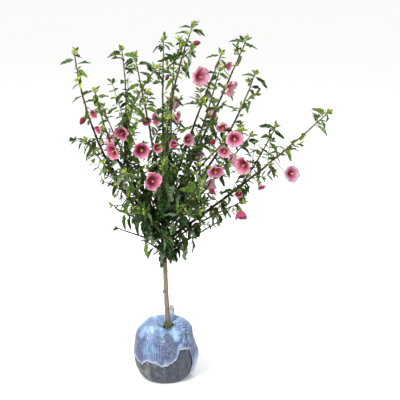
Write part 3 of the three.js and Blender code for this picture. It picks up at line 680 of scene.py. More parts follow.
# %% The line of the stem
STEM_LINE = [  # the middle of the stem, from its foot up
    (3, 0, 110.3), (3, 0, 118), (1, 0, 160), (-1, 0, 210), (-2, 0, 265), (-1, 0, 330), (0, 0, 402),
]
STEM_FOOT_R = 7.6
STEM_R = 5.4
STEM_TIP_R = 2.6
STEM_TAPER = 1.6
FLARE_FADE = 8.8
STEM_FLUTE = 0.05
STEM_SIDES = 64
STEM_RINGS = 460
KNOTS = [(193, 190, 2.3), (238, 30, 1.5), (157, -60, 1.3)]  # height, side in degrees, radius
STEM_FOOT = STEM_LINE[0][2]
STEM_TOP = STEM_LINE[-1][2]


def stem_at(height):
    """The middle of the stem at some heights."""
    xs, _, heights = np.array(STEM_LINE, float).T
    slopes = np.gradient(xs, heights)
    k = np.clip(np.searchsorted(heights, height) - 1, 0, len(heights) - 2)
    gap = heights[k + 1] - heights[k]
    s = (height - heights[k]) / gap
    x = xs[k] * (1 + 2 * s) * (1 - s) ** 2 + xs[k + 1] * s * s * (3 - 2 * s)
    x = x + gap * s * (1 - s) * (slopes[k] * (1 - s) - slopes[k + 1] * s)
    return np.stack([x, 0 * x, height + 0 * x], -1)


def stem_radius(height):
    share = (height - STEM_FOOT) / (STEM_TOP - STEM_FOOT)
    flare = np.exp(-(height - STEM_FOOT) / FLARE_FADE)
    return STEM_R + (STEM_TIP_R - STEM_R) * share ** STEM_TAPER + (STEM_FOOT_R - STEM_R) * flare


# %% The bark of the stem
heights = STEM_FOOT + (STEM_TOP - STEM_FOOT) * np.linspace(0, 1, STEM_RINGS)[:, None]
turn = np.arange(STEM_SIDES)[None] * 2 * math.pi / STEM_SIDES
radius = stem_radius(heights) * (1 + STEM_FLUTE * np.sin(heights / 40 - 3 * turn))
outward = np.stack([np.cos(turn) + 0 * heights, np.sin(turn) + 0 * heights, 0 * turn + 0 * heights], -1)
bark = stem_at(heights[:, 0])[:, None] + outward * radius[..., None]
cracks = facets(bark * (1, 1, 0.16), 2.6, 51) - 0.4
pores = step(clouds(bark * (1, 1, 0.8), 2.4, 52), 0.55, 0.9)
swells = clouds(bark * (1, 1, 0.5), 9, 53)
relief = 0.3 * cracks + 0.18 * pores + 0.35 * swells
scars = 0 * relief
for height, facing, size in KNOTS:
    off = (np.degrees(turn) - facing + 180) % 360 - 180
    far = np.hypot(np.radians(off) * radius, (heights - height) / 1.4)
    relief = relief + size * 1.2 * bell(far, 0, size * 0.9) - 0.9 * bell(far, 0, size * 0.3)
    scars = np.maximum(scars, bell(far, 0, size * 1.1))
bark = bark + outward * relief[..., None]
caps = np.stack([stem_at(STEM_FOOT), stem_at(STEM_TOP)])
now = np.arange(STEM_SIDES)
after = (now + 1) % STEM_SIDES
top = (STEM_RINGS - 1) * STEM_SIDES
foot = STEM_RINGS * STEM_SIDES
closing = [np.stack([after, now, 0 * now + foot], -1)]
closing.append(np.stack([now + top, after + top, 0 * now + foot + 1], -1))
stem = Batch()
stem.add(np.concatenate([bark.reshape(-1, 3), caps]), np.concatenate([net(STEM_RINGS, STEM_SIDES), *closing]))
stem_fields = {
    "crack": np.concatenate([np.clip(0.5 - cracks * 1.1, 0, 1).ravel(), [0, 0]]),
    "scar": np.concatenate([scars.ravel(), [0, 0]]),
    "high": np.concatenate([step(heights + 0 * turn, 230, 380).ravel(), [0, 1]]),
}

# %% The finish of the bark
bark_finish = Finish("stem_bark", Roughness=0.82, Specular_IOR_Level=0.3)
streaks = bark_finish.grain(1.6, 5, (1, 1, 9))
patches = bark_finish.grain(9, 3, (1, 1, 2.5))
tan = bark_finish.mix(bark_finish.between(streaks, 0.36, 0.64), paint("6f6252"), paint("998b78"))
tan = bark_finish.mix(bark_finish.between(patches, 0.45, 0.65) * 0.5, tan, paint("928b83"))
tan = bark_finish.mix(bark_finish.field("high") * 0.6, tan, paint("6d5640"))
tan = bark_finish.mix(bark_finish.field("crack") * 0.55, tan, paint("574433"))
tan = bark_finish.mix(bark_finish.field("scar") * 0.9, tan, paint("2b1f1b"))
bark_finish.wear(Base_Color=tan, Normal=bark_finish.bump(streaks, 0.25, 0.6))
make_piece("stem_bark", stem, [bark_finish], ["stem"], stem_fields)

# %% [markdown]
# ## The canes
# The crown is some twenty canes that leave the top of the stem and bow outwards. The solids place each one by
# the height of its root, its tip, and how far it stands off the straight line. Leaves, twigs and blooms then
# grow by a rule with seeded numbers. The same tables and the same rule are written here again, so every twig
# starts where the solid has it, and then the rule is carried on to smaller twigs and leaves.

# %% The canes, as in the solids
CANES = [  # root height, tip, bow, bare share, forks as (from, tip, bow), blooms as (x, y, z, turn, tilt, width)
  {"name": "left_outer", "root": 304, "tip": (-176, -40, 712), "bow": (-40, 0), "bare": 0.16,
   "blooms": [(-138, -60, 590, -30, -20, 24), (-161, -48, 577, -50, -50, 18)]},
  {"name": "left_inner", "root": 327, "tip": (-129, -110, 645), "bow": (-24, 0), "bare": 0.16,
   "blooms": [(-103, -96, 521, -40, -5, 43), (-124, -104, 568, -50, -15, 21)]},
  {"name": "left_low", "root": 282, "tip": (-155, -80, 542), "bow": (6, -6), "bare": 0.2},
  {"name": "left_front", "root": 346, "tip": (-10, -60, 685), "bow": (-74, -14), "bare": 0.14, "twigs": 0.25,
   "forks": [(0.6, (-87, 22, 709), (4, 0))],
   "blooms": [(-86, -62, 550, -35, -12, 38), (-41, -112, 526, 8, -5, 41)]},
  {"name": "left_back_tall", "root": 353, "tip": (-68, 110, 690), "bow": (2, 10), "bare": 0.14, "fine": 0.1,
   "blooms": [(-39, 30, 560, 10, -10, 24)]},
  {"name": "middle_tall", "root": 383, "tip": (-3, 60, 728), "bow": (-4, 20), "bare": 0.12,
   "blooms": [(-20, -24, 572, -55, -5, 33)]},
  {"name": "middle_top", "root": 400, "tip": (60, 6, 763), "bow": (-20, 0), "bare": 0.12,
   "forks": [(0.8, (57, -6, 716), (2, 0))],
   "blooms": [(64, -10, 725, 60, 5, 16), (30, -34, 579, 60, -5, 32), (20, -62, 528, -40, 5, 26)]},
  {"name": "right_middle", "root": 382, "tip": (115, -60, 711), "bow": (-3, -8), "bare": 0.14,
   "blooms": [(78, -72, 665, 42, 0, 48), (50, -48, 536, 30, 10, 31)]},
  {"name": "right_tall", "root": 362, "tip": (170, 61, 728), "bow": (4, 12), "bare": 0.13,
   "blooms": [(130, 26, 674, 50, 5, 24), (138, 14, 629, 50, -20, 42)]},
  {"name": "right_lean", "root": 356, "tip": (182, -60, 673), "bow": (22, -8), "bare": 0.16,
   "blooms": [(118, -98, 566, 5, -45, 34)]},
  {"name": "right_front", "root": 340, "tip": (150, -128, 572), "bow": (-26, -14), "bare": 0.18,
   "blooms": [(139, -150, 556, 5, -8, 42), (154, -126, 499, -35, -8, 42), (98, -92, 541, -20, -20, 17),
              (119, -118, 525, -10, -10, 30)]},
  {"name": "right_outer", "root": 308, "tip": (334, -30, 590), "bow": (12, 0), "bare": 0.16, "twigs": 0.2,
   "forks": [(0.46, (232, 40, 547), (4, 6))],
   "blooms": [(261, -54, 467, 20, 12, 42), (197, -50, 440, 30, -40, 20)]},
  {"name": "right_low", "root": 296, "tip": (160, -66, 412), "bow": (-14, -4), "bare": 0.24,
   "blooms": [(155, -84, 388, 10, -60, 27), (96, -92, 440, 20, -10, 17), (151, -70, 430, -10, -20, 20)]},
  {"name": "front_middle", "root": 352, "tip": (12, -182, 606), "bow": (-4, -18), "bare": 0.17,
   "blooms": [(-10, -100, 530, 10, 0, 25)]},
  {"name": "front_left", "root": 314, "tip": (-72, -172, 500), "bow": (-4, -14), "bare": 0.2,
   "blooms": [(-16, -158, 476, 32, 0, 43)]},
  {"name": "front_right", "root": 334, "tip": (74, -170, 478), "bow": (4, -14), "bare": 0.22,
   "blooms": [(104, -134, 486, 15, -35, 40)]},
  {"name": "back_middle", "root": 377, "tip": (14, 186, 668), "bow": (2, 16), "bare": 0.16, "hidden": True},
  {"name": "back_right_tall", "root": 346, "tip": (116, 168, 650), "bow": (8, 16), "bare": 0.16, "hidden": True},
  {"name": "back_right", "root": 318, "tip": (186, 142, 508), "bow": (2, 8), "bare": 0.18, "hidden": True},
  {"name": "back_left", "root": 334, "tip": (-142, 136, 574), "bow": (-10, 12), "bare": 0.17, "hidden": True},
  {"name": "back_low", "root": 300, "tip": (-30, 190, 470), "bow": (0, 8), "bare": 0.2, "hidden": True},
]
SHOOTS = [  # short leafy shoots from the stem itself
  ("skirt_front_left", 279, (-40, -58, 326)), ("skirt_right", 280, (112, -40, 362)),
  ("skirt_back_left", 286, (-58, 62, 340)), ("skirt_left", 299, (-98, -18, 340)),
  ("skirt_front_right", 286, (52, -60, 334)), ("skirt_back_right", 292, (56, 66, 344)),
  ("heart_front", 302, (-2, -106, 352)), ("heart_front_left", 376, (-50, -86, 436)),
  ("heart_left_high", 372, (-56, 10, 472)), ("heart_right_high", 372, (56, -48, 460)),
  ("heart_right", 350, (76, -64, 408)), ("heart_left", 326, (-103, 37, 366)),
  ("heart_back", 332, (33, 94, 390)), ("heart_back_left", 320, (-65, 76, 380)),
]
SPARSE = {"skirt_left": 0.2, "skirt_right": 0.6}
for name, root, tip in SHOOTS:
    leafy = SPARSE.get(name, 0.7)
    CANES.append({"name": name, "root": root, "tip": tip, "bow": (0, 0), "bare": 0, "sprout": True, "leafy": leafy})
print(len(CANES), "canes and shoots")

# %% Seeded numbers
UP = np.array((0.0, 0.0, 1.0))


def seeded(seed):
    """The same row of numbers from 0 to 1 as in the solids."""
    state = seed

    def draw():
        nonlocal state
        state = (state * 1664525 + 1013904223) % 4294967296
        return state / 4294967296

    return draw


def nearest_whole(number):
    return math.floor(number + 0.5)


# %% Ways
class Way:
    """A smooth bend in one plane, with a frame that never twists."""

    def __init__(self, start, bend, end):
        self.points = np.array([start, bend, end], float)
        self.length = np.linalg.norm(np.diff(self.at(np.linspace(0, 1, 201)), axis=0), axis=1).sum()
        start, bend, end = self.points
        across = np.cross(bend - start, end - start)
        if np.linalg.norm(across) < 1e-3 * self.length:
            across = np.cross(end - start, (0, 1, 0.2))
        self.across = unit(across)

    def at(self, t):
        t = np.asarray(t, float)[..., None]
        start, bend, end = self.points
        return start * (1 - t) ** 2 + bend * 2 * t * (1 - t) + end * t * t

    def along(self, t):
        start, bend, end = self.points
        return unit((bend - start) * (1 - t) + (end - bend) * t)

    def out(self, t, angle):
        """Square to the way at `t`, and turned by `angle` from the plane of the bend."""
        return np.cross(self.across, self.along(t)) * math.cos(angle) + self.across * math.sin(angle)


def bowed(start, tip, bow):
    start, tip = np.array(start, float), np.array(tip, float)
    chord = unit(tip - start)
    off = np.array((*bow, 0.0))
    off = off - chord * (off @ chord)
    return Way(start, (start + tip) / 2 + 2 * off, tip)


# %% Wands and blooms
CANE_TIP_R = 0.8
CANE_R = 1.2
CANE_R_PER_MM = 0.0042
FORK_R = 0.85
BLOOM_DEPTH = 0.62  # of the radius
BLOOM_WALL = 2.4
BLOOM_SLACK = 1.09
PEDICEL_OFF = 0.22
PEDICEL_SUNK = 0.42
PEDICEL_BACK = 8
PEDICEL_LOWER = 14
PEDICEL_BEND = 0.45
PEDICEL_UNTIL = 0.88  # share of it that is seen behind the bloom
HIDDEN_BLOOM_SHARES = (0.4, 0.66)
HIDDEN_BLOOM_WIDTH = 38
HIDDEN_BLOOM_OUT = 34
HIDDEN_BLOOM_UP = 12
HIDDEN_BLOOM_TILT = 0.1


class Wand:
    """A leafy length of a way, from the share `start` on."""

    def __init__(self, way, thick, start, seed, young=0.0):
        self.way = way
        self.thick = thick
        self.start = start
        self.seed = seed
        self.young = young

    def radius(self, t):
        return CANE_TIP_R + (self.thick - CANE_TIP_R) * (1 - t)


class Bloom:
    def __init__(self, mouth, facing, width):
        self.facing = unit(np.array(facing, float))
        self.mouth = np.array(mouth, float)
        self.radius = width / 2
        self.base = self.mouth - self.facing * self.radius * BLOOM_DEPTH
        self.pedicel = None

    def join(self, wands):
        """Its stalk leaves the nearest wand a little lower down, and enters the bloom from behind."""
        wish = self.base - self.facing * PEDICEL_BACK
        wish[2] = self.base[2] - PEDICEL_LOWER
        spots = np.concatenate([w.way.at(np.arange(w.start + 0.04, 0.97, 0.01)) for w in wands])
        start = spots[np.argmin(np.linalg.norm(spots - wish, axis=1))]
        below = unit(self.facing * self.facing[2] - UP)
        in_wall = self.radius * BLOOM_DEPTH * PEDICEL_OFF * BLOOM_SLACK + BLOOM_WALL * PEDICEL_SUNK
        end = self.base + self.facing * in_wall + below * self.radius * PEDICEL_OFF
        bend = end - self.facing * PEDICEL_BEND * np.linalg.norm(end - start)
        self.pedicel = Way(start, bend, end)


for order, cane in enumerate(CANES):
    way = bowed(stem_at(np.float64(cane["root"])), cane["tip"], cane["bow"])
    main = Wand(way, CANE_R + CANE_R_PER_MM * way.length, cane["bare"], order * 10 + 1)
    cane["wands"] = [main]
    for n, (share, tip, bow) in enumerate(cane.get("forks", [])):
        branch = bowed(way.at(share), tip, bow)
        cane["wands"].append(Wand(branch, main.radius(share) * FORK_R, 0, order * 10 + 2 + n, share))
    grown = []
    for x, y, z, turned, tilt, width in cane.get("blooms", []):
        turned, tilt = math.radians(turned), math.radians(tilt)
        facing = (math.sin(turned) * math.cos(tilt), -math.cos(turned) * math.cos(tilt), math.sin(tilt))
        grown.append(Bloom((x, y, z), facing, width))
    if cane.get("hidden"):
        for share in HIDDEN_BLOOM_SHARES:
            at = way.at(share)
            facing = unit(np.array((*unit(at[:2]), HIDDEN_BLOOM_TILT)))
            mouth = at + facing * HIDDEN_BLOOM_OUT + UP * HIDDEN_BLOOM_UP
            grown.append(Bloom(mouth, facing, HIDDEN_BLOOM_WIDTH))
    for bloom in grown:
        bloom.join(cane["wands"])
    cane["blooms"] = grown
BLOOMS = [bloom for cane in CANES for bloom in cane["blooms"]]
print(sum(len(cane["wands"]) for cane in CANES), "wands and", len(BLOOMS), "blooms")

# %% [markdown]
# A cane is brown and barky near the stem, olive further up and green where it is still growing. Such tints
# have a place on the plant, so they are plain colours dealt out along each cane, a stretch at a time.

# %% The canes as limbs
CANE_SIDES = 10
CANE_RING = 3.2  # mm between two rings
CANE_TINTS = ["1a190d", "2c2311", "3c311a", "4b4822", "6b7a36"]
CANE_SWAY = 0.5
NODE_GAP = 19
NODE_SWELL = 0.22
CANE_LIFE = ((0, 1.02), (0.3, 1.2), (1, 1.4))  # share of the cane and of the radius in the solids
cane_finishes = []
for number, code in enumerate(CANE_TINTS):
    finish = Finish(f"cane_bark_{number}", Roughness=0.7 - 0.06 * number, Specular_IOR_Level=0.15)
    streak = finish.grain(1.2, 3, (1, 1, 6))
    lit, deep = np.array(paint(code)) * 1.25, np.array(paint(code)) * 0.72
    finish.wear(
        Base_Color=finish.mix(finish.between(streak, 0.35, 0.65), tuple(deep), tuple(lit)),
        Normal=finish.bump(streak, 0.2, 0.5),
    )
    cane_finishes.append(finish)


def ripened(t, age):
    """Which tint a cane has at the share `t` of its length."""
    return np.clip((t + age) * len(CANE_TINTS), 0, len(CANE_TINTS) - 1).astype(int)


canes = Batch()
for cane in CANES:
    for wand in cane["wands"]:
        draw = seeded(wand.seed * 31 + 7)
        first = 0 if wand is cane["wands"][0] else wand.start
        count = max(8, nearest_whole(wand.way.length * (1 - first) / CANE_RING))
        t = np.linspace(first, 1, count)
        middle = wand.way.at(t)
        sway = np.stack([clouds(middle, 17, shift) for shift in (61, 62, 63)], -1)
        middle = middle + CANE_SWAY * sway * step(t, 0.03, 0.15)[:, None]
        swelling = 1 + NODE_SWELL * bell((wand.way.length * t / NODE_GAP) % 1, 0.5, 0.14)
        thick = np.interp(t, *np.array(CANE_LIFE).T) * wand.radius(t) * swelling
        points, faces = tube(middle, thick, CANE_SIDES)
        rough = clouds(points * (1, 1, 0.4), 3, 65)[:, None]
        centre = np.concatenate([np.repeat(middle, CANE_SIDES, axis=0), middle[:1], middle[-1:]])
        points = centre + (points - centre) * (1 + 0.09 * rough)
        ring = np.clip(faces.min(axis=1) // CANE_SIDES, 0, count - 1)
        age = 0.24 * draw() - 0.04
        tints = ripened(t[ring] * (0.3 if cane.get("sprout") else 0.72), age)
        canes.add(points, faces, tints)
boughs = [name for name in NODES if name.startswith("bough_")]
make_piece("canes", canes, cane_finishes, boughs)

# %% [markdown]
# ## Room to grow
# A twig that would run into the space of another cane, or into a limb, isn't grown. Bones are short straight
# pieces of every limb. How far a point is from each of them tells whose space it is in.

# %% Bones
BONE = 14
SPACE_MARGIN = 1.2
LIMB_CLEAR = 1.5
BLOOM_ROOM = 0.7
bones = []


def add_bones(owner, middle, length, radius, start, end):
    steps = max(2, nearest_whole(length * (end - start) / BONE))
    spots = np.linspace(start, end, steps + 1)
    points = middle(spots)
    for k in range(steps):
        bones.append((owner, points[k], points[k + 1], radius(spots[k])))


for number, cane in enumerate(CANES):
    main = cane["wands"][0]
    if cane["bare"] > 0:
        add_bones(-1, main.way.at, main.way.length, main.radius, 0, cane["bare"])
    for wand in cane["wands"]:
        add_bones(number, wand.way.at, wand.way.length, wand.radius, wand.start, 1)
    for bloom in cane["blooms"]:
        add_bones(number, bloom.pedicel.at, bloom.pedicel.length, lambda t: 1, 0, 1)
add_bones(-1, stem_at, 1, stem_radius, STEM_FOOT, STEM_TOP)
bone_owner = np.array([bone[0] for bone in bones])
bone_start = np.array([bone[1] for bone in bones])
bone_run = np.array([bone[2] for bone in bones]) - bone_start
bone_radius = np.array([bone[3] for bone in bones])
bloom_middles = np.array([(bloom.mouth + bloom.base) / 2 for bloom in BLOOMS])
bloom_radii = np.array([bloom.radius for bloom in BLOOMS])
bloom_facing = np.array([bloom.facing for bloom in BLOOMS])
bloom_bases = np.array([bloom.base for bloom in BLOOMS])
bloom_owner = np.array([number for number, cane in enumerate(CANES) for _ in cane["blooms"]])
print(len(bones), "bones")


# %% Does it fit
def bone_gaps(points):
    """How far each point is from each bone."""
    offset = points[:, None] - bone_start
    share = np.clip((offset * bone_run).sum(-1) / (bone_run ** 2).sum(-1), 0, 1)
    return np.linalg.norm(offset - share[..., None] * bone_run, axis=-1)


def fits(number, points):
    far = bone_gaps(points)
    bare = bone_owner < 0
    if (far[:, bare] < bone_radius[bare] + LIMB_CLEAR).any():
        return False
    own = far[:, bone_owner == number].min(axis=1)
    other = far[:, (bone_owner != number) & ~bare].min(axis=1)
    if (own + SPACE_MARGIN > other).any():
        return False
    room = np.where(bloom_owner == number, bloom_radii * BLOOM_ROOM, bloom_radii + SPACE_MARGIN)
    return (np.linalg.norm(points[:, None] - bloom_middles, axis=-1) > room).all()


FACE_FAR = 42  # mm in front of a bloom that are kept clear of leaves


def clear(points):
    """For rows of points: which rows keep off the stem, the boughs and the faces of the blooms."""
    good = np.ones(len(points), bool)
    bare = bone_owner < 0
    for k in range(points.shape[1]):
        at = points[:, k]
        offset = at[:, None] - bone_start[bare]
        run = bone_run[bare]
        share = np.clip((offset * run).sum(-1) / (run ** 2).sum(-1), 0, 1)
        far = np.linalg.norm(offset - share[..., None] * run, axis=-1)
        good &= (far > bone_radius[bare] + 0.6).all(axis=1)
        from_base = at[:, None] - bloom_bases
        ahead = (from_base * bloom_facing).sum(-1)
        aside = np.linalg.norm(from_base - ahead[..., None] * bloom_facing, axis=-1)
        taken = (ahead > 0) & (ahead < bloom_radii + FACE_FAR) & (aside < bloom_radii)
        good &= ~taken.any(axis=1)
    return good


# %% [markdown]
# ## The rule of growth
# Each node of a cane bears a leaf, set 137.5 degrees on from the last, so that no leaf shades the next. Low
# leaves hang and those near the tip stand up. Some nodes also bear a side twig. The solids stop there, with
# leaves larger than life. Here the leaves get their real size, and a node may also get a second leaf and a
# tuft of small young leaves in its axil, as on the real plant.

# %% Growth
SPROUT_NODE_GAP = 8.5
NODE_CROWDING = 1.45
TURN = math.radians(137.5)
TURN_PLAY = 50
TWIG_CHANCE = 0.38
TWIG_LONG = 74
TWIG_LEAN = 0.75
TWIG_OUT = 0.85
TWIG_R = 1.1
TWIG_TIP_R = 0.6
TWIG_TURN_PLAY = 60
LEAF_LONG = 44
LEAF_SHRINK = 0.36
LEAF_RISES = ((0, -55), (0.55, -22), (1, 30))  # share of the cane and degrees above level
LEAF_RISE_PLAY = 56
LEAF_ROLL_PLAY = 80
SPROUT_YOUTH = 0.1
LIFE_SIZES = ((290, 0.66), (400, 0.74), (470, 0.88), (760, 1))  # by height, of the leaves of the solids
TUFT_SHARE = 0.42  # of the length of the leaf that it sits above
RISE_LESS = 0.5  # by which the leaves near a tip stand lower than in the solids
LOW_GROWTH = 415  # mm above the floor, and lower down the growth is thinner
FOOT_SPROUTS = 7
FOOT_SPROUT_OUT = 7.5
FINE_CHANCE = 0.5
FINE_UNTIL = 0.7  # share of the cane
FINE_LESS = 0.75  # share of the fine twigs that the airy upper crown lacks
FINE_LONG = 110
TIP_LEAVES = 4
INNER_GAP = 4.5  # mm between the small leaves on the bare foot of a cane
TIP_LEAF_GAP = 8
leaves = {"root": [], "way": [], "long": [], "roll": [], "youth": [], "owner": []}
twigs = []


def leaf(number, root, way, long, roll, youth):
    for name, value in zip(leaves, (root, unit(way), long, roll, youth, number)):
        leaves[name].append(value)


def tuft(number, root, along, out, count, long, youth, draw):
    """Small young leaves in the axil of a leaf, spread round their own short shoot."""
    second = np.cross(along, out)
    for k in range(count):
        angle = k * TURN + 2 * draw()
        ring = out * math.cos(angle) + second * math.sin(angle)
        way = unit(along * (0.75 + 0.5 * draw()) + out * 0.45 + ring * (0.5 + 0.4 * draw()))
        leaf(number, root + way * 1.5, way, long * (0.6 + 0.5 * draw()), 2.4 * (draw() - 0.5), youth)


def grow(number, cane, wand):
    draw = seeded(wand.seed)
    sprout = cane.get("sprout", False)
    gap = SPROUT_NODE_GAP if sprout else NODE_GAP
    twig_chance = 0 if sprout else cane.get("twigs", TWIG_CHANCE)
    way = wand.way
    nodes = max(3, nearest_whole(way.length * (1 - wand.start) / gap))
    inner = seeded(wand.seed * 131 + 3)
    for t in np.arange(0.05, 0 if sprout else wand.start, INNER_GAP / way.length):
        spread = way.out(t, 7 * inner()) + UP * (0.7 * inner() - 0.5)
        leaf(number, way.at(t), spread, 10 + 13 * inner(), 2.4 * (inner() - 0.5), 0.15 + 0.55 * inner())
    for n in range(nodes):
        jitter, chance, reach, size, lift, twist = [draw() for _ in range(6)]
        t = wand.start + (1 - wand.start) * ((n + 0.6) / nodes) ** NODE_CROWDING
        youth = SPROUT_YOUTH if sprout else t
        root = way.at(t)
        long = LEAF_LONG * (1.1 - LEAF_SHRINK * youth) * (0.8 + 0.4 * size)
        rise = math.radians(np.interp(youth, *np.array(LEAF_RISES).T) + LEAF_RISE_PLAY * (lift - 0.5))
        roll = math.radians(LEAF_ROLL_PLAY * (twist - 0.5))
        out = way.out(t, n * TURN + math.radians(TURN_PLAY * (jitter - 0.5)))
        low = root[2] < LOW_GROWTH
        long = long * np.interp(root[2], *np.array(LIFE_SIZES).T)
        rise = rise - RISE_LESS * youth * youth
        youth = max(youth, wand.young + (1 - wand.young) * t)
        fine = seeded(wand.seed * 97 + n * 13 + 5)
        if fine() > cane.get("leafy", 1):
            continue
        leaf(number, root, out + UP * math.tan(rise), long, roll, youth)
        across = way.out(t, n * TURN + math.pi * (0.75 + 0.5 * fine()))
        if fine() < (0.1 if low else 0.6 - 0.3 * step(t, 0.3, 0.7)):
            rise_too = rise + 0.5 * (fine() - 0.5)
            leaf(number, root, across + UP * math.tan(rise_too), long * (0.5 + 0.3 * fine()), -roll, youth)
        axil = unit(way.along(t) * 0.8 + out * 0.5)
        if fine() < (0.3 if low else 0.7 - 0.2 * step(t, 0.3, 0.7)):
            tuft(number, root, axil, out, 1 + int(3 * fine()), long * TUFT_SHARE, youth + 0.3, fine)
        airy = FINE_LESS * step(root[2], 480, 600)
        if not sprout and t < FINE_UNTIL and fine() < cane.get("fine", FINE_CHANCE) * (1 - airy):
            heading = unit(way.along(t) + 0.5 * way.out(t, n * TURN + 3 + 2 * fine()))
            end = root + heading * FINE_LONG * (0.4 + 0.6 * fine()) * (1.1 - 0.7 * t)
            twig = Way(root, (root + end) / 2, end)
            if fits(number, twig.at(np.array((0.5, 0.75, 1)))):
                grow_twig(number, twig, long * 0.8, rise, roll, youth, jitter, fine)
        if chance > twig_chance or n == nodes - 1:
            continue
        length = TWIG_LONG * (0.45 + 0.55 * reach) * (1.15 - 0.7 * t)
        opposite = way.out(t, n * TURN + math.pi * 0.6)
        heading = unit(way.along(t) * TWIG_LEAN + opposite * TWIG_OUT)
        end = root + heading * length
        twig = Way(root, (root + end) / 2, end)
        if not fits(number, twig.at(np.array((0.5, 0.75, 1)))):
            continue
        grow_twig(number, twig, long, rise, roll, youth, jitter, fine)
    tuft(number, way.at(0.99), way.along(1), way.out(1, 0.8), 3, LEAF_LONG * 0.34, 0.35 if sprout else 0.9, draw)
    for k in range(0 if sprout else TIP_LEAVES):
        t = 0.98 - TIP_LEAF_GAP / way.length * k
        spread = way.out(t, wand.seed + k * TURN) + UP * (0.4 - 0.9 * draw())
        leaf(number, way.at(t), spread, LEAF_LONG * (0.5 + 0.35 * draw()), 2.4 * (draw() - 0.5), 0.5)


def grow_twig(number, twig, long, rise, roll, youth, jitter, fine):
    sag = UP * -0.06 * twig.length
    twig = Way(twig.points[0], twig.points[1] + sag + 4 * twig.out(0.5, 6 * fine()), twig.points[2])
    twigs.append((twig, TWIG_R, TWIG_TIP_R, youth))
    pairs = max(3, nearest_whole(twig.length / 13))
    for k in range(pairs):
        s = (k + 0.8) / pairs
        across = twig.out(s, k * math.pi + math.radians(TWIG_TURN_PLAY * (jitter - 0.5)))
        for half in (1, -1):
            spread = across * half + twig.along(s) * 0.7 + UP * math.sin(rise) * 0.6
            share = (0.72 - 0.3 * s) * (0.8 + 0.4 * fine())
            leaf(number, twig.at(s), spread, long * share, roll * (1 if k % 2 else -1), youth + 0.15)
        if fine() < 0.5:
            tuft(number, twig.at(s), unit(twig.along(s) + across), across, 2, long * 0.34, youth + 0.35, fine)
    tuft(number, twig.at(0.98), twig.along(1), twig.out(1, 0.5), 4, long * 0.4, youth + 0.4, fine)


for number, cane in enumerate(CANES):
    for wand in cane["wands"]:
        grow(number, cane, wand)
draw = seeded(77)
for k in range(FOOT_SPROUTS):
    angle = math.radians(-90 + 150 * (draw() - 0.5))
    out = np.array((math.cos(angle), math.sin(angle), 0))
    root = stem_at(np.float64(STEM_FOOT + 1)) + out * FOOT_SPROUT_OUT
    leaf(-1, root, out * (0.1 + 0.5 * draw()) + UP * (0.9 + 0.9 * draw()), 10 + 14 * draw(), 2 * draw() - 1, 2.4)
leaves = {name: np.array(values) for name, values in leaves.items()}
print(len(leaves["long"]), "leaves and", len(twigs), "twigs")

# %% [markdown]
# ## Leaves
# A leaf of this mallow has three lobes, the middle one much the longest, and blunt teeth. It folds a little
# along its rib, droops at the tip, and is paler beneath. A flat card with a painted outline would vanish
# when seen edge-on, so each leaf is a thin closed blade in its own outline with a short stalk. A few
# patterns are made, and every leaf is one of them, turned and scaled into place.

# %% Leaf patterns
LOBED_ROWS = [  # share of the length, half width and half thickness as shares of it too
    (0, 0.013, 0.013), (0.16, 0.012, 0.012), (0.2, 0.12, 0.008), (0.28, 0.24, 0.008), (0.36, 0.33, 0.007),
    (0.43, 0.25, 0.007), (0.5, 0.2, 0.007), (0.57, 0.23, 0.006), (0.66, 0.19, 0.006), (0.74, 0.19, 0.005),
    (0.83, 0.14, 0.005), (0.91, 0.13, 0.004), (0.97, 0.07, 0.004), (1, 0.015, 0.003),
]
SLENDER_ROWS = [
    (0, 0.013, 0.013), (0.12, 0.012, 0.012), (0.16, 0.05, 0.008), (0.27, 0.125, 0.008), (0.38, 0.155, 0.007),
    (0.47, 0.13, 0.007), (0.57, 0.14, 0.006), (0.69, 0.12, 0.006), (0.81, 0.1, 0.005), (0.93, 0.07, 0.004),
    (1, 0.015, 0.003),
]
SMALL_ROWS = [
    (0, 0.02, 0.015), (0.2, 0.13, 0.01), (0.44, 0.2, 0.008), (0.76, 0.15, 0.007), (1, 0.03, 0.004),
]


def blade(rows, fold, droop, wave, curl, seed):
    """A leaf of length 1 along X, as rings of four points: right edge, rib, left edge, underside."""
    draw = seeded(seed)
    rings = []
    for x, half, thick in rows:
        left, right = half * (0.85 + 0.3 * draw()), half * (0.85 + 0.3 * draw())
        sag = -droop * x * x
        lift = fold * half + wave * math.sin(11 * x + 3 * draw()) * half
        bend = curl * x * x
        rings.append([
            (x, right + bend, sag + lift), (x, bend, sag + thick), (x, bend - left, sag + lift),
            (x, bend, sag - thick),
        ])
    points = np.array(rings).reshape(-1, 3)
    ends = (len(rows) - 1) * 4
    caps = np.array([[2, 1, 0], [3, 2, 0], [ends, ends + 1, ends + 2], [ends, ends + 2, ends + 3]])
    return points, np.concatenate([net(len(rows), 4), caps])


PATTERNS = 7


def patterns(rows, fold, droop, wave, seed):
    """Seven leaves of one kind, from flat to folded and from straight to bent."""
    made = []
    for k in range(PATTERNS):
        bent = 0.05 * (k % 3 - 1)
        made.append(blade(rows, fold * (0.4 + 0.25 * k), droop * (0.5 + 0.5 * (k % 3)), wave, bent, seed + k))
    return made


LEAF_KINDS = [
    patterns(LOBED_ROWS, 0.45, 0.2, 0.4, 100),
    patterns(SLENDER_ROWS, 0.6, 0.24, 0.4, 200),
    patterns(SMALL_ROWS, 0.5, 0.12, 0.25, 300),
]
print("triangles in a leaf of each kind:", [len(kind[0][1]) for kind in LEAF_KINDS])

# %% [markdown]
# The greens run from the deep green of the old leaves in the heart to the yellow green of the young tips. Low
# leaves in the heart are also painted darker as shade and high ones paler as light, and some leaves take a
# grey-green painted sheen. Each leaf has one finish on top and a greyer one beneath, dealt out by its place on
# the spray.

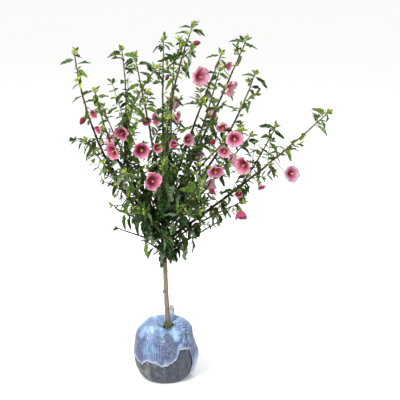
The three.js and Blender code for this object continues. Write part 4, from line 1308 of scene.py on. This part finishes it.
# %% Leaf finishes
UPPER_TINTS = ["102605", "1a3608", "2a480e", "3f5c17", "587022", "788b2c", "9caa38", "b8c34a"]
UNDER_TINTS = ["3c5330", "587040", "82964f"]
# painted sheen: grey-green tints that stand in for the sky's reflection on the tops of some leaves
SHEEN_TINTS = ["74836a", "8b977f"]  # of the low leaves and the high ones


def leaf_finish(name, code, rough):
    finish = Finish(name, Specular_IOR_Level=0.1)
    mottle = finish.grain(5, 3)
    lit, deep = np.array(paint(code)) * 1.16, np.array(paint(code)) * 0.84
    finish.wear(
        Base_Color=finish.mix(finish.between(mottle, 0.38, 0.62), tuple(deep), tuple(lit)),
        Roughness=rough + 0.15 * mottle,
        Normal=finish.bump(finish.grain(1.8, 3), 0.3, 0.5),
    )
    return finish


leaf_finishes = [leaf_finish(f"leaf_top_{k}", code, 0.38) for k, code in enumerate(UPPER_TINTS)]
leaf_finishes += [leaf_finish(f"leaf_under_{k}", code, 0.55) for k, code in enumerate(UNDER_TINTS)]
leaf_finishes += [leaf_finish(f"leaf_dusty_{k}", code, 0.45) for k, code in enumerate(SHEEN_TINTS)]

# %% Leaves in place
LOBED, SLENDER, SMALL = range(3)
GROWN_LONG = 19  # mm, and shorter leaves use the small pattern
SHEEN_SHARE = 0.17
SHEEN_HIGH = 530
FRESH_LONG = 21  # mm, and longer leaves have no paler tint than this one
RIPE_TINT = 4


def frames(ways, rolls):
    """For each leaf its way, its right hand and its face, as rows."""
    side = unit(np.cross(ways, UP) + 1e-6)
    face = np.cross(side, ways)
    turned = side * np.cos(rolls)[:, None] + face * -np.sin(rolls)[:, None]
    return np.stack([ways, turned, np.cross(turned, ways)], 1)


bases = frames(leaves["way"], leaves["roll"])
long = leaves["long"][:, None]
ways = leaves["way"]
probes = np.stack([leaves["root"] + ways * long * share for share in (0.4, 0.7, 1)], 1)
keep = clear(probes)
luck = np.random.default_rng(5).random((3, len(keep)))
print(len(keep) - keep.sum(), "leaves had no room")
youth = leaves["youth"]
heights = leaves["root"][:, 2]
kind = np.where(luck[0] < 0.15 + step(youth, 0.2, 0.6), SLENDER, LOBED)
kind = np.where(leaves["long"] < GROWN_LONG, SMALL, kind)
kind = np.where(leaves["owner"] < 0, SLENDER, kind)
# the leaf's youth and chance, with painted light: high leaves painted paler, low ones in the heart darker as shade
youth_and_light = youth * 3.7 + 0.9 * step(heights, 430, 700) - step(-heights, -400, -320) + 5 * (luck[1] - 0.5)
grown = (leaves["long"] > FRESH_LONG) & (leaves["owner"] >= 0)
upper = np.clip(youth_and_light, 0, np.where(grown, RIPE_TINT, len(UPPER_TINTS) - 1)).astype(int)
under = len(UPPER_TINTS) + np.clip(upper // 3, 0, len(UNDER_TINTS) - 1)
# painted sheen: a share of the grown leaves takes a grey-green tint on top instead of its green
sheen = len(leaf_finishes) - 2 + (heights > SHEEN_HIGH)
upper = np.where((kind != SMALL) & (luck[2] < SHEEN_SHARE), sheen, upper)
SPRAYS = {
    "leaves_low": lambda z: z < 420,
    "leaves_middle": lambda z: (z >= 420) & (z < 560),
    "leaves_high": lambda z: z >= 560,
}
masses = [name for name in NODES if name.startswith("foliage_")]


for name, here in SPRAYS.items():
    spray = Batch()
    for number, made in enumerate(LEAF_KINDS):
        fitting = np.flatnonzero(keep & here(heights) & (kind == number))
        for k, (points, faces) in enumerate(made):
            chosen = fitting[fitting % PATTERNS == k]
            if not len(chosen):
                continue
            scaled = points[None] * leaves["long"][chosen, None, None]
            placed = np.einsum("npa,nab->npb", scaled, bases[chosen]) + leaves["root"][chosen, None]
            shifts = np.arange(len(chosen))[:, None, None] * len(points)
            body = (len(faces) - 4) // 8 * 8
            column = np.where(np.arange(len(faces)) < body, np.arange(len(faces)) // 2 % 4, 0)
            tints = np.where(column < 2, upper[chosen, None], under[chosen, None])
            spray.add(placed.reshape(-1, 3), (faces[None] + shifts).reshape(-1, 3), tints.ravel())
    make_piece(name, spray, leaf_finishes, masses)

# %% Twigs
TWIG_SIDES = 6
twig_batch = Batch()
for twig, thick, thin, youth in twigs:
    t = np.linspace(0, 1, max(5, nearest_whole(twig.length / 5)))
    points, faces = tube(twig.at(t), thick + (thin - thick) * t, TWIG_SIDES)
    twig_batch.add(points, faces, 2 if youth < 0.3 else 3)
for bloom in BLOOMS:
    t = np.linspace(0, PEDICEL_UNTIL, 12)
    points, faces = tube(bloom.pedicel.at(t), 1.0 - 0.25 * t, TWIG_SIDES)
    twig_batch.add(points, faces, 4)
make_piece("twigs", twig_batch, cane_finishes, masses)

# %% [markdown]
# ## Blooms
# An open bloom has five broad petals that overlap like a pinwheel, pale pink at the rim and deep pink inside,
# with crimson veins that run into a crimson eye, and a yellow column in the middle. A younger one is a
# trumpet. Both are the same five petals with another opening, so one function makes them, row by row from
# the eye to the rim, and each face takes the tint of its own place. A furled one is turned on a lathe.

# %% Petal finishes
# painted light in part: the pale pink of the petals' outsides is their own paler back and also light shining through
# them
PETAL_TINTS = {
    "eye": "55081b", "ring": "7c1535", "flush": "952a50", "deep": "a34069", "body": "b0557c", "pale": "bd768c",
    "rim": "c3939f", "outside": "e0a4b6", "bud": "6c1230", "column": "d99c34", "pollen": "e8c468",
    "lilac_body": "a65f80", "lilac_pale": "ab768f", "lilac_rim": "b492a4",
    "calyx": "8f9d46", "calyx_old": "67792f", "faded": "8f7062",
}
PETAL_NUMBER = {name: k for k, name in enumerate(PETAL_TINTS)}
petal_finishes = []
for name, code in PETAL_TINTS.items():
    finish = Finish(f"petal_{name}", Roughness=0.6, Specular_IOR_Level=0.3)
    silk = finish.grain(1.5, 2)
    lit, deep = np.array(paint(code)) * 1.08, np.array(paint(code)) * 0.9
    finish.wear(
        Base_Color=finish.mix(finish.between(silk, 0.35, 0.65), tuple(deep), tuple(np.minimum(lit, 1))),
        Normal=finish.bump(silk, 0.15, 0.4),
    )
    petal_finishes.append(finish)

# %% A petal
PETALS = 5
PETAL_ROWS = 13
PETAL_COLUMNS = 13
PETAL_THICK = 0.35
PETAL_HALF = math.radians(47)
TINT_BORDERS = (0.25, 0.37, 0.46, 0.56, 0.69, 0.87)  # share of the petal where one tint gives way to the next
VEIN_SHIFT = 0.32
YOUNG_SHIFT = 0.3  # by which a bloom that is hardly open is more crimson
OPEN_WIDTH = 30  # mm, and from here up a bloom is fully open
HALF_OPEN_WIDTH = 20
# painted light: the petals at the lower right of each bloom are painted paler
PALE_SIDE = 0.1  # by which the petals at the lower right are paler


def facing_frame(facing):
    """A frame whose third row is the way that the bloom faces."""
    side = unit(np.cross(UP, facing) + (0, 1e-6, 0))
    return np.stack([side, np.cross(facing, side), facing])


def petal(middle, radius, depth, openness, painted_light, draw, nodding=False):
    """One petal round the third axis, from its claw to its rim, and the tint of each of its faces."""
    u, v = np.meshgrid(np.linspace(0.02, 1, PETAL_ROWS), np.linspace(1, -1, PETAL_COLUMNS), indexing="ij")
    half = PETAL_HALF * (0.84 + 0.16 * np.sqrt(u)) * (0.92 + 0.08 * openness) * (0.94 + 0.14 * draw())
    angle = middle + half * v + 0.12 * (draw() - 0.5)
    fringe = 0.17 * np.abs(v) ** 2.8 + 0.03 * np.sin(6 * v + 6 * draw()) + 0.06 * bell(v, 0.6 * draw() - 0.3, 0.16)
    long = 0.88 + 0.15 * draw()
    flare = 0.28 if nodding else 0.8 + 0.5 * (1 - openness)
    out = radius * long * (0.015 + 0.985 * u ** flare) * (1 - fringe * u ** 3)
    curl = radius * (0.5 * draw() - 0.1) * openness * u ** 5
    ripple = radius * (0.07 * np.sin(5 * v + 6 * draw()) + 0.05 * np.sin(11 * v + 6 * draw())) * u ** 3
    trough = 0.1 * radius * v * v * u
    ahead = depth * u ** (0.75 + 0.4 * openness) - curl + ripple + trough + 0.06 * radius * v * np.sqrt(u)
    grid = np.stack([out * np.cos(angle), out * np.sin(angle), ahead], -1)
    points, faces = shell(grid, PETAL_THICK)
    u_face = (u[:-1, :-1] + u[1:, 1:]) / 2
    v_face = (v[:-1, :-1] + v[1:, 1:]) / 2
    column = np.arange(PETAL_COLUMNS - 1)[None] + 0 * u_face
    veins = VEIN_SHIFT * (column % 3 == 1) * (1 - u_face)
    depth_in = u_face + 0.1 * np.abs(v_face) * u_face + 0.16 * (draw() - 0.5) - veins
    depth_in = depth_in - YOUNG_SHIFT * (0.85 - openness) / 0.5 + painted_light
    inside = np.repeat(np.searchsorted(TINT_BORDERS, depth_in.ravel()), 2)
    outside = np.full(len(inside), PETAL_NUMBER["deep" if nodding else "outside"])
    rest = np.full(len(faces) - 2 * len(inside), PETAL_NUMBER["rim"])
    return points, faces, np.concatenate([inside, outside, rest])


# %% The parts in the middle and behind
COLUMN_LONG = 0.62  # of the radius
COLUMN_R = 0.75
ANTHERS = 18
CALYX_LONG = 8.5
CALYX_R = 4.2
CALYX_BEHIND = 7.5


def lathe(radii, heights, sides, lobes=0.0, lobe_count=5, spin=0.0):
    """A closed turned body along the third axis, with lobes round it."""
    turn = np.arange(sides) * 2 * math.pi / sides
    radii, heights = np.asarray(radii, float)[:, None], np.asarray(heights, float)[:, None]
    size = radii * (1 + lobes * np.cos(lobe_count * turn + spin * heights))
    points = np.stack([size * np.cos(turn), size * np.sin(turn), heights + 0 * turn], -1).reshape(-1, 3)
    rows = len(radii)
    now = np.arange(sides)
    after = (now + 1) % sides
    top = (rows - 1) * sides
    low, high = len(points), len(points) + 1
    caps = [np.stack([after, now, 0 * now + low], -1), np.stack([now + top, after + top, 0 * now + high], -1)]
    ends = np.array([[0, 0, heights[0, 0]], [0, 0, heights[-1, 0]]])
    return np.concatenate([points, ends]), np.concatenate([net(rows, sides), *caps])


def speck(at, size):
    """A tiny six-pointed grain of pollen."""
    ways = np.array([(1, 0, 0), (0, 1, 0), (-1, 0, 0), (0, -1, 0), (0, 0, 1), (0, 0, -1)], float)
    faces = np.array([(0, 1, 4), (1, 2, 4), (2, 3, 4), (3, 0, 4), (1, 0, 5), (2, 1, 5), (3, 2, 5), (0, 3, 5)])
    return at + ways * size, faces


def calyx(batch, base, frame_rows, long, wide, tint):
    """Five green sepals that hold a bloom or a bud from behind."""
    u, turn = np.meshgrid(np.linspace(0, 1, 6), np.arange(20) * 2 * math.pi / 20, indexing="ij")
    reach = 1 - 0.38 * u * (0.5 - 0.5 * np.cos(5 * turn))
    size = wide * (0.3 + 0.7 * np.sin(u * 1.7) / math.sin(1.57))
    grid = np.stack([size * np.cos(turn), size * np.sin(turn), long * u * reach], -1)
    points, faces = shell(grid, 0.5, closed=True)
    batch.add(points @ frame_rows + base, faces, PETAL_NUMBER[tint])


# %% Blossom in place
BLOOM_LIFE = 0.89  # of the blooms of the solids
LILAC_FROM = 200  # mm to the right, and from here on blooms are more lilac
LILAC = {"body": "lilac_body", "pale": "lilac_pale", "rim": "lilac_rim", "outside": "lilac_rim"}
NODDING = -0.8  # a bloom that faces down more than this is a closed bell
blossom = Batch()
for number, bloom in enumerate(BLOOMS):
    draw = seeded(900 + number)
    rows = facing_frame(bloom.facing)
    width = bloom.radius * 2
    nodding = bloom.facing[2] < NODDING
    if not nodding:
        bloom.radius = bloom.radius * BLOOM_LIFE
    calyx_at = bloom.base - bloom.facing * CALYX_BEHIND
    if width < HALF_OPEN_WIDTH:
        t = np.linspace(0, 1, 12)
        furled = bloom.radius * 0.8 * np.sin(math.pi * (0.1 + 0.84 * t)) ** 0.7 * (1 - 0.25 * t)
        points, faces = lathe(furled, t * bloom.radius * 2.2, 20, 0.09, 5, 0.22)
        blossom.add(points @ rows + bloom.base, faces, PETAL_NUMBER["bud"])
        calyx(blossom, bloom.base - bloom.facing * 2.5, rows, CALYX_LONG, bloom.radius * 0.6, "calyx")
        continue
    openness = float(np.clip((width - HALF_OPEN_WIDTH) / (OPEN_WIDTH - HALF_OPEN_WIDTH), 0, 1)) * 0.5 + 0.35
    openness = openness + 0.15 * draw()
    if nodding:
        openness = 0.5
    depth = bloom.radius * (BLOOM_DEPTH + 1.1 * (1 - openness))
    # painted light: blooms are painted paler high up and far out on the right, and darker on the left
    painted_light = np.interp(bloom.mouth[2], (450, 650), (-0.08, 0.18)) + 0.22 * step(bloom.mouth[0], 200, 250)
    painted_light = painted_light - 0.13 * step(-bloom.mouth[0], -40, 60)
    first = 2 * math.pi * draw()
    for k in range(PETALS):
        turned = first + k * 2 * math.pi / PETALS
        sunlit = painted_light + PALE_SIDE * math.cos(turned + math.pi / 4)
        points, faces, tints = petal(turned, bloom.radius, depth, openness, sunlit, draw, nodding)
        if bloom.mouth[0] > LILAC_FROM:
            for plain, lilac in LILAC.items():
                tints = np.where(tints == PETAL_NUMBER[plain], PETAL_NUMBER[lilac], tints)
        blossom.add(points @ rows + bloom.base, faces, tints)
    long = bloom.radius * COLUMN_LONG
    t = np.linspace(0, 1, 6)
    bent = bloom.base + bloom.facing * (long * t[:, None]) + UP * -0.08 * long * (t ** 2)[:, None]
    points, faces = tube(bent, COLUMN_R * (1 - 0.4 * t), 8)
    blossom.add(points, faces, PETAL_NUMBER["column"])
    for k in range(ANTHERS):
        share = 0.45 + 0.55 * (k + draw()) / ANTHERS
        at = bloom.base + bloom.facing * long * share + UP * -0.08 * long * share ** 2
        spoke = (rows[0] * math.cos(k * TURN) + rows[1] * math.sin(k * TURN)) * (0.9 + 1.1 * draw())
        points, faces = speck(at + spoke, 0.55)
        blossom.add(points, faces, PETAL_NUMBER["pollen" if k % 3 else "column"])
    calyx(blossom, calyx_at, rows, CALYX_LONG, CALYX_R, "calyx")
make_piece("blossom", blossom, petal_finishes, masses)

# %% [markdown]
# Round green buds sit at the tips of the canes and twigs and in the upper axils. A few have begun to show
# their crimson petals. The bud at the very top of the plant has faded brown.

# %% Buds
BUD_LONG = 10.8
BUD_WIDE = 7.6
BUNCH_CHANCE = 0.3
BUNCH_FROM = 0.5
CRIMSON_CHANCE = 0.1
buds = Batch()


def bud(root, way, long, wide, tint):
    rows = facing_frame(unit(way))
    t = np.linspace(0, 1, 8)
    shape = wide / 2 * np.sin(math.pi * (0.12 + 0.84 * t)) ** 0.8 * (1 - 0.3 * t)
    points, faces = lathe(shape, long * t, 12, 0.07, 5, 0.1)
    buds.add(points @ rows + root, faces, PETAL_NUMBER[tint])


def bunch(root, along, out, across, count, draw):
    """Buds crowded round the end of a short shoot."""
    for k in range(count):
        angle = k * TURN + draw()
        way = unit(along * 0.9 + out * math.cos(angle) + across * math.sin(angle))
        at = root + way * (0.5 + 2 * draw())
        bud(at, way, 6.5 + 2 * draw(), 5 + 1.6 * draw(), "calyx" if k % 3 else "calyx_old")


for cane in CANES:
    if cane.get("sprout"):
        continue
    for wand in cane["wands"]:
        draw = seeded(wand.seed * 53 + 11)
        top = "faded" if cane["name"] == "middle_top" and wand is cane["wands"][0] else "calyx"
        along = wand.way.along(1)
        bud(wand.way.at(1) - along * 2, along, BUD_LONG * 0.85, BUD_WIDE * 0.8, top)
        bunch(wand.way.at(0.99), along, wand.way.out(1, 0), wand.way.across, 7, draw)
        for t in np.arange(BUNCH_FROM, 0.95, 0.06):
            turned, chance, size, ripe = draw(), draw(), draw(), draw()
            if chance > BUNCH_CHANCE:
                continue
            out = wand.way.out(t, 2 * math.pi * turned)
            way = unit(out + 0.9 * wand.way.along(t))
            root = wand.way.at(t)
            points, faces = tube(root + way * np.linspace(0, 6 + 5 * size, 4)[:, None], 0.5, 6)
            buds.add(points, faces, PETAL_NUMBER["calyx_old"])
            end = root + way * (5 + 5 * size)
            if ripe < CRIMSON_CHANCE:
                bud(end, way, 9 + 3 * size, 6 + 2 * size, "bud")
            else:
                bunch(end, way, unit(np.cross(way, UP)), unit(np.cross(way, out)), 3 + int(3 * size), draw)
for twig, _, _, _ in twigs:
    along = twig.along(1)
    bud(twig.at(1) - along * 0.5, along, 6.5, 4.6, "calyx")
make_piece("buds", buds, petal_finishes, masses)
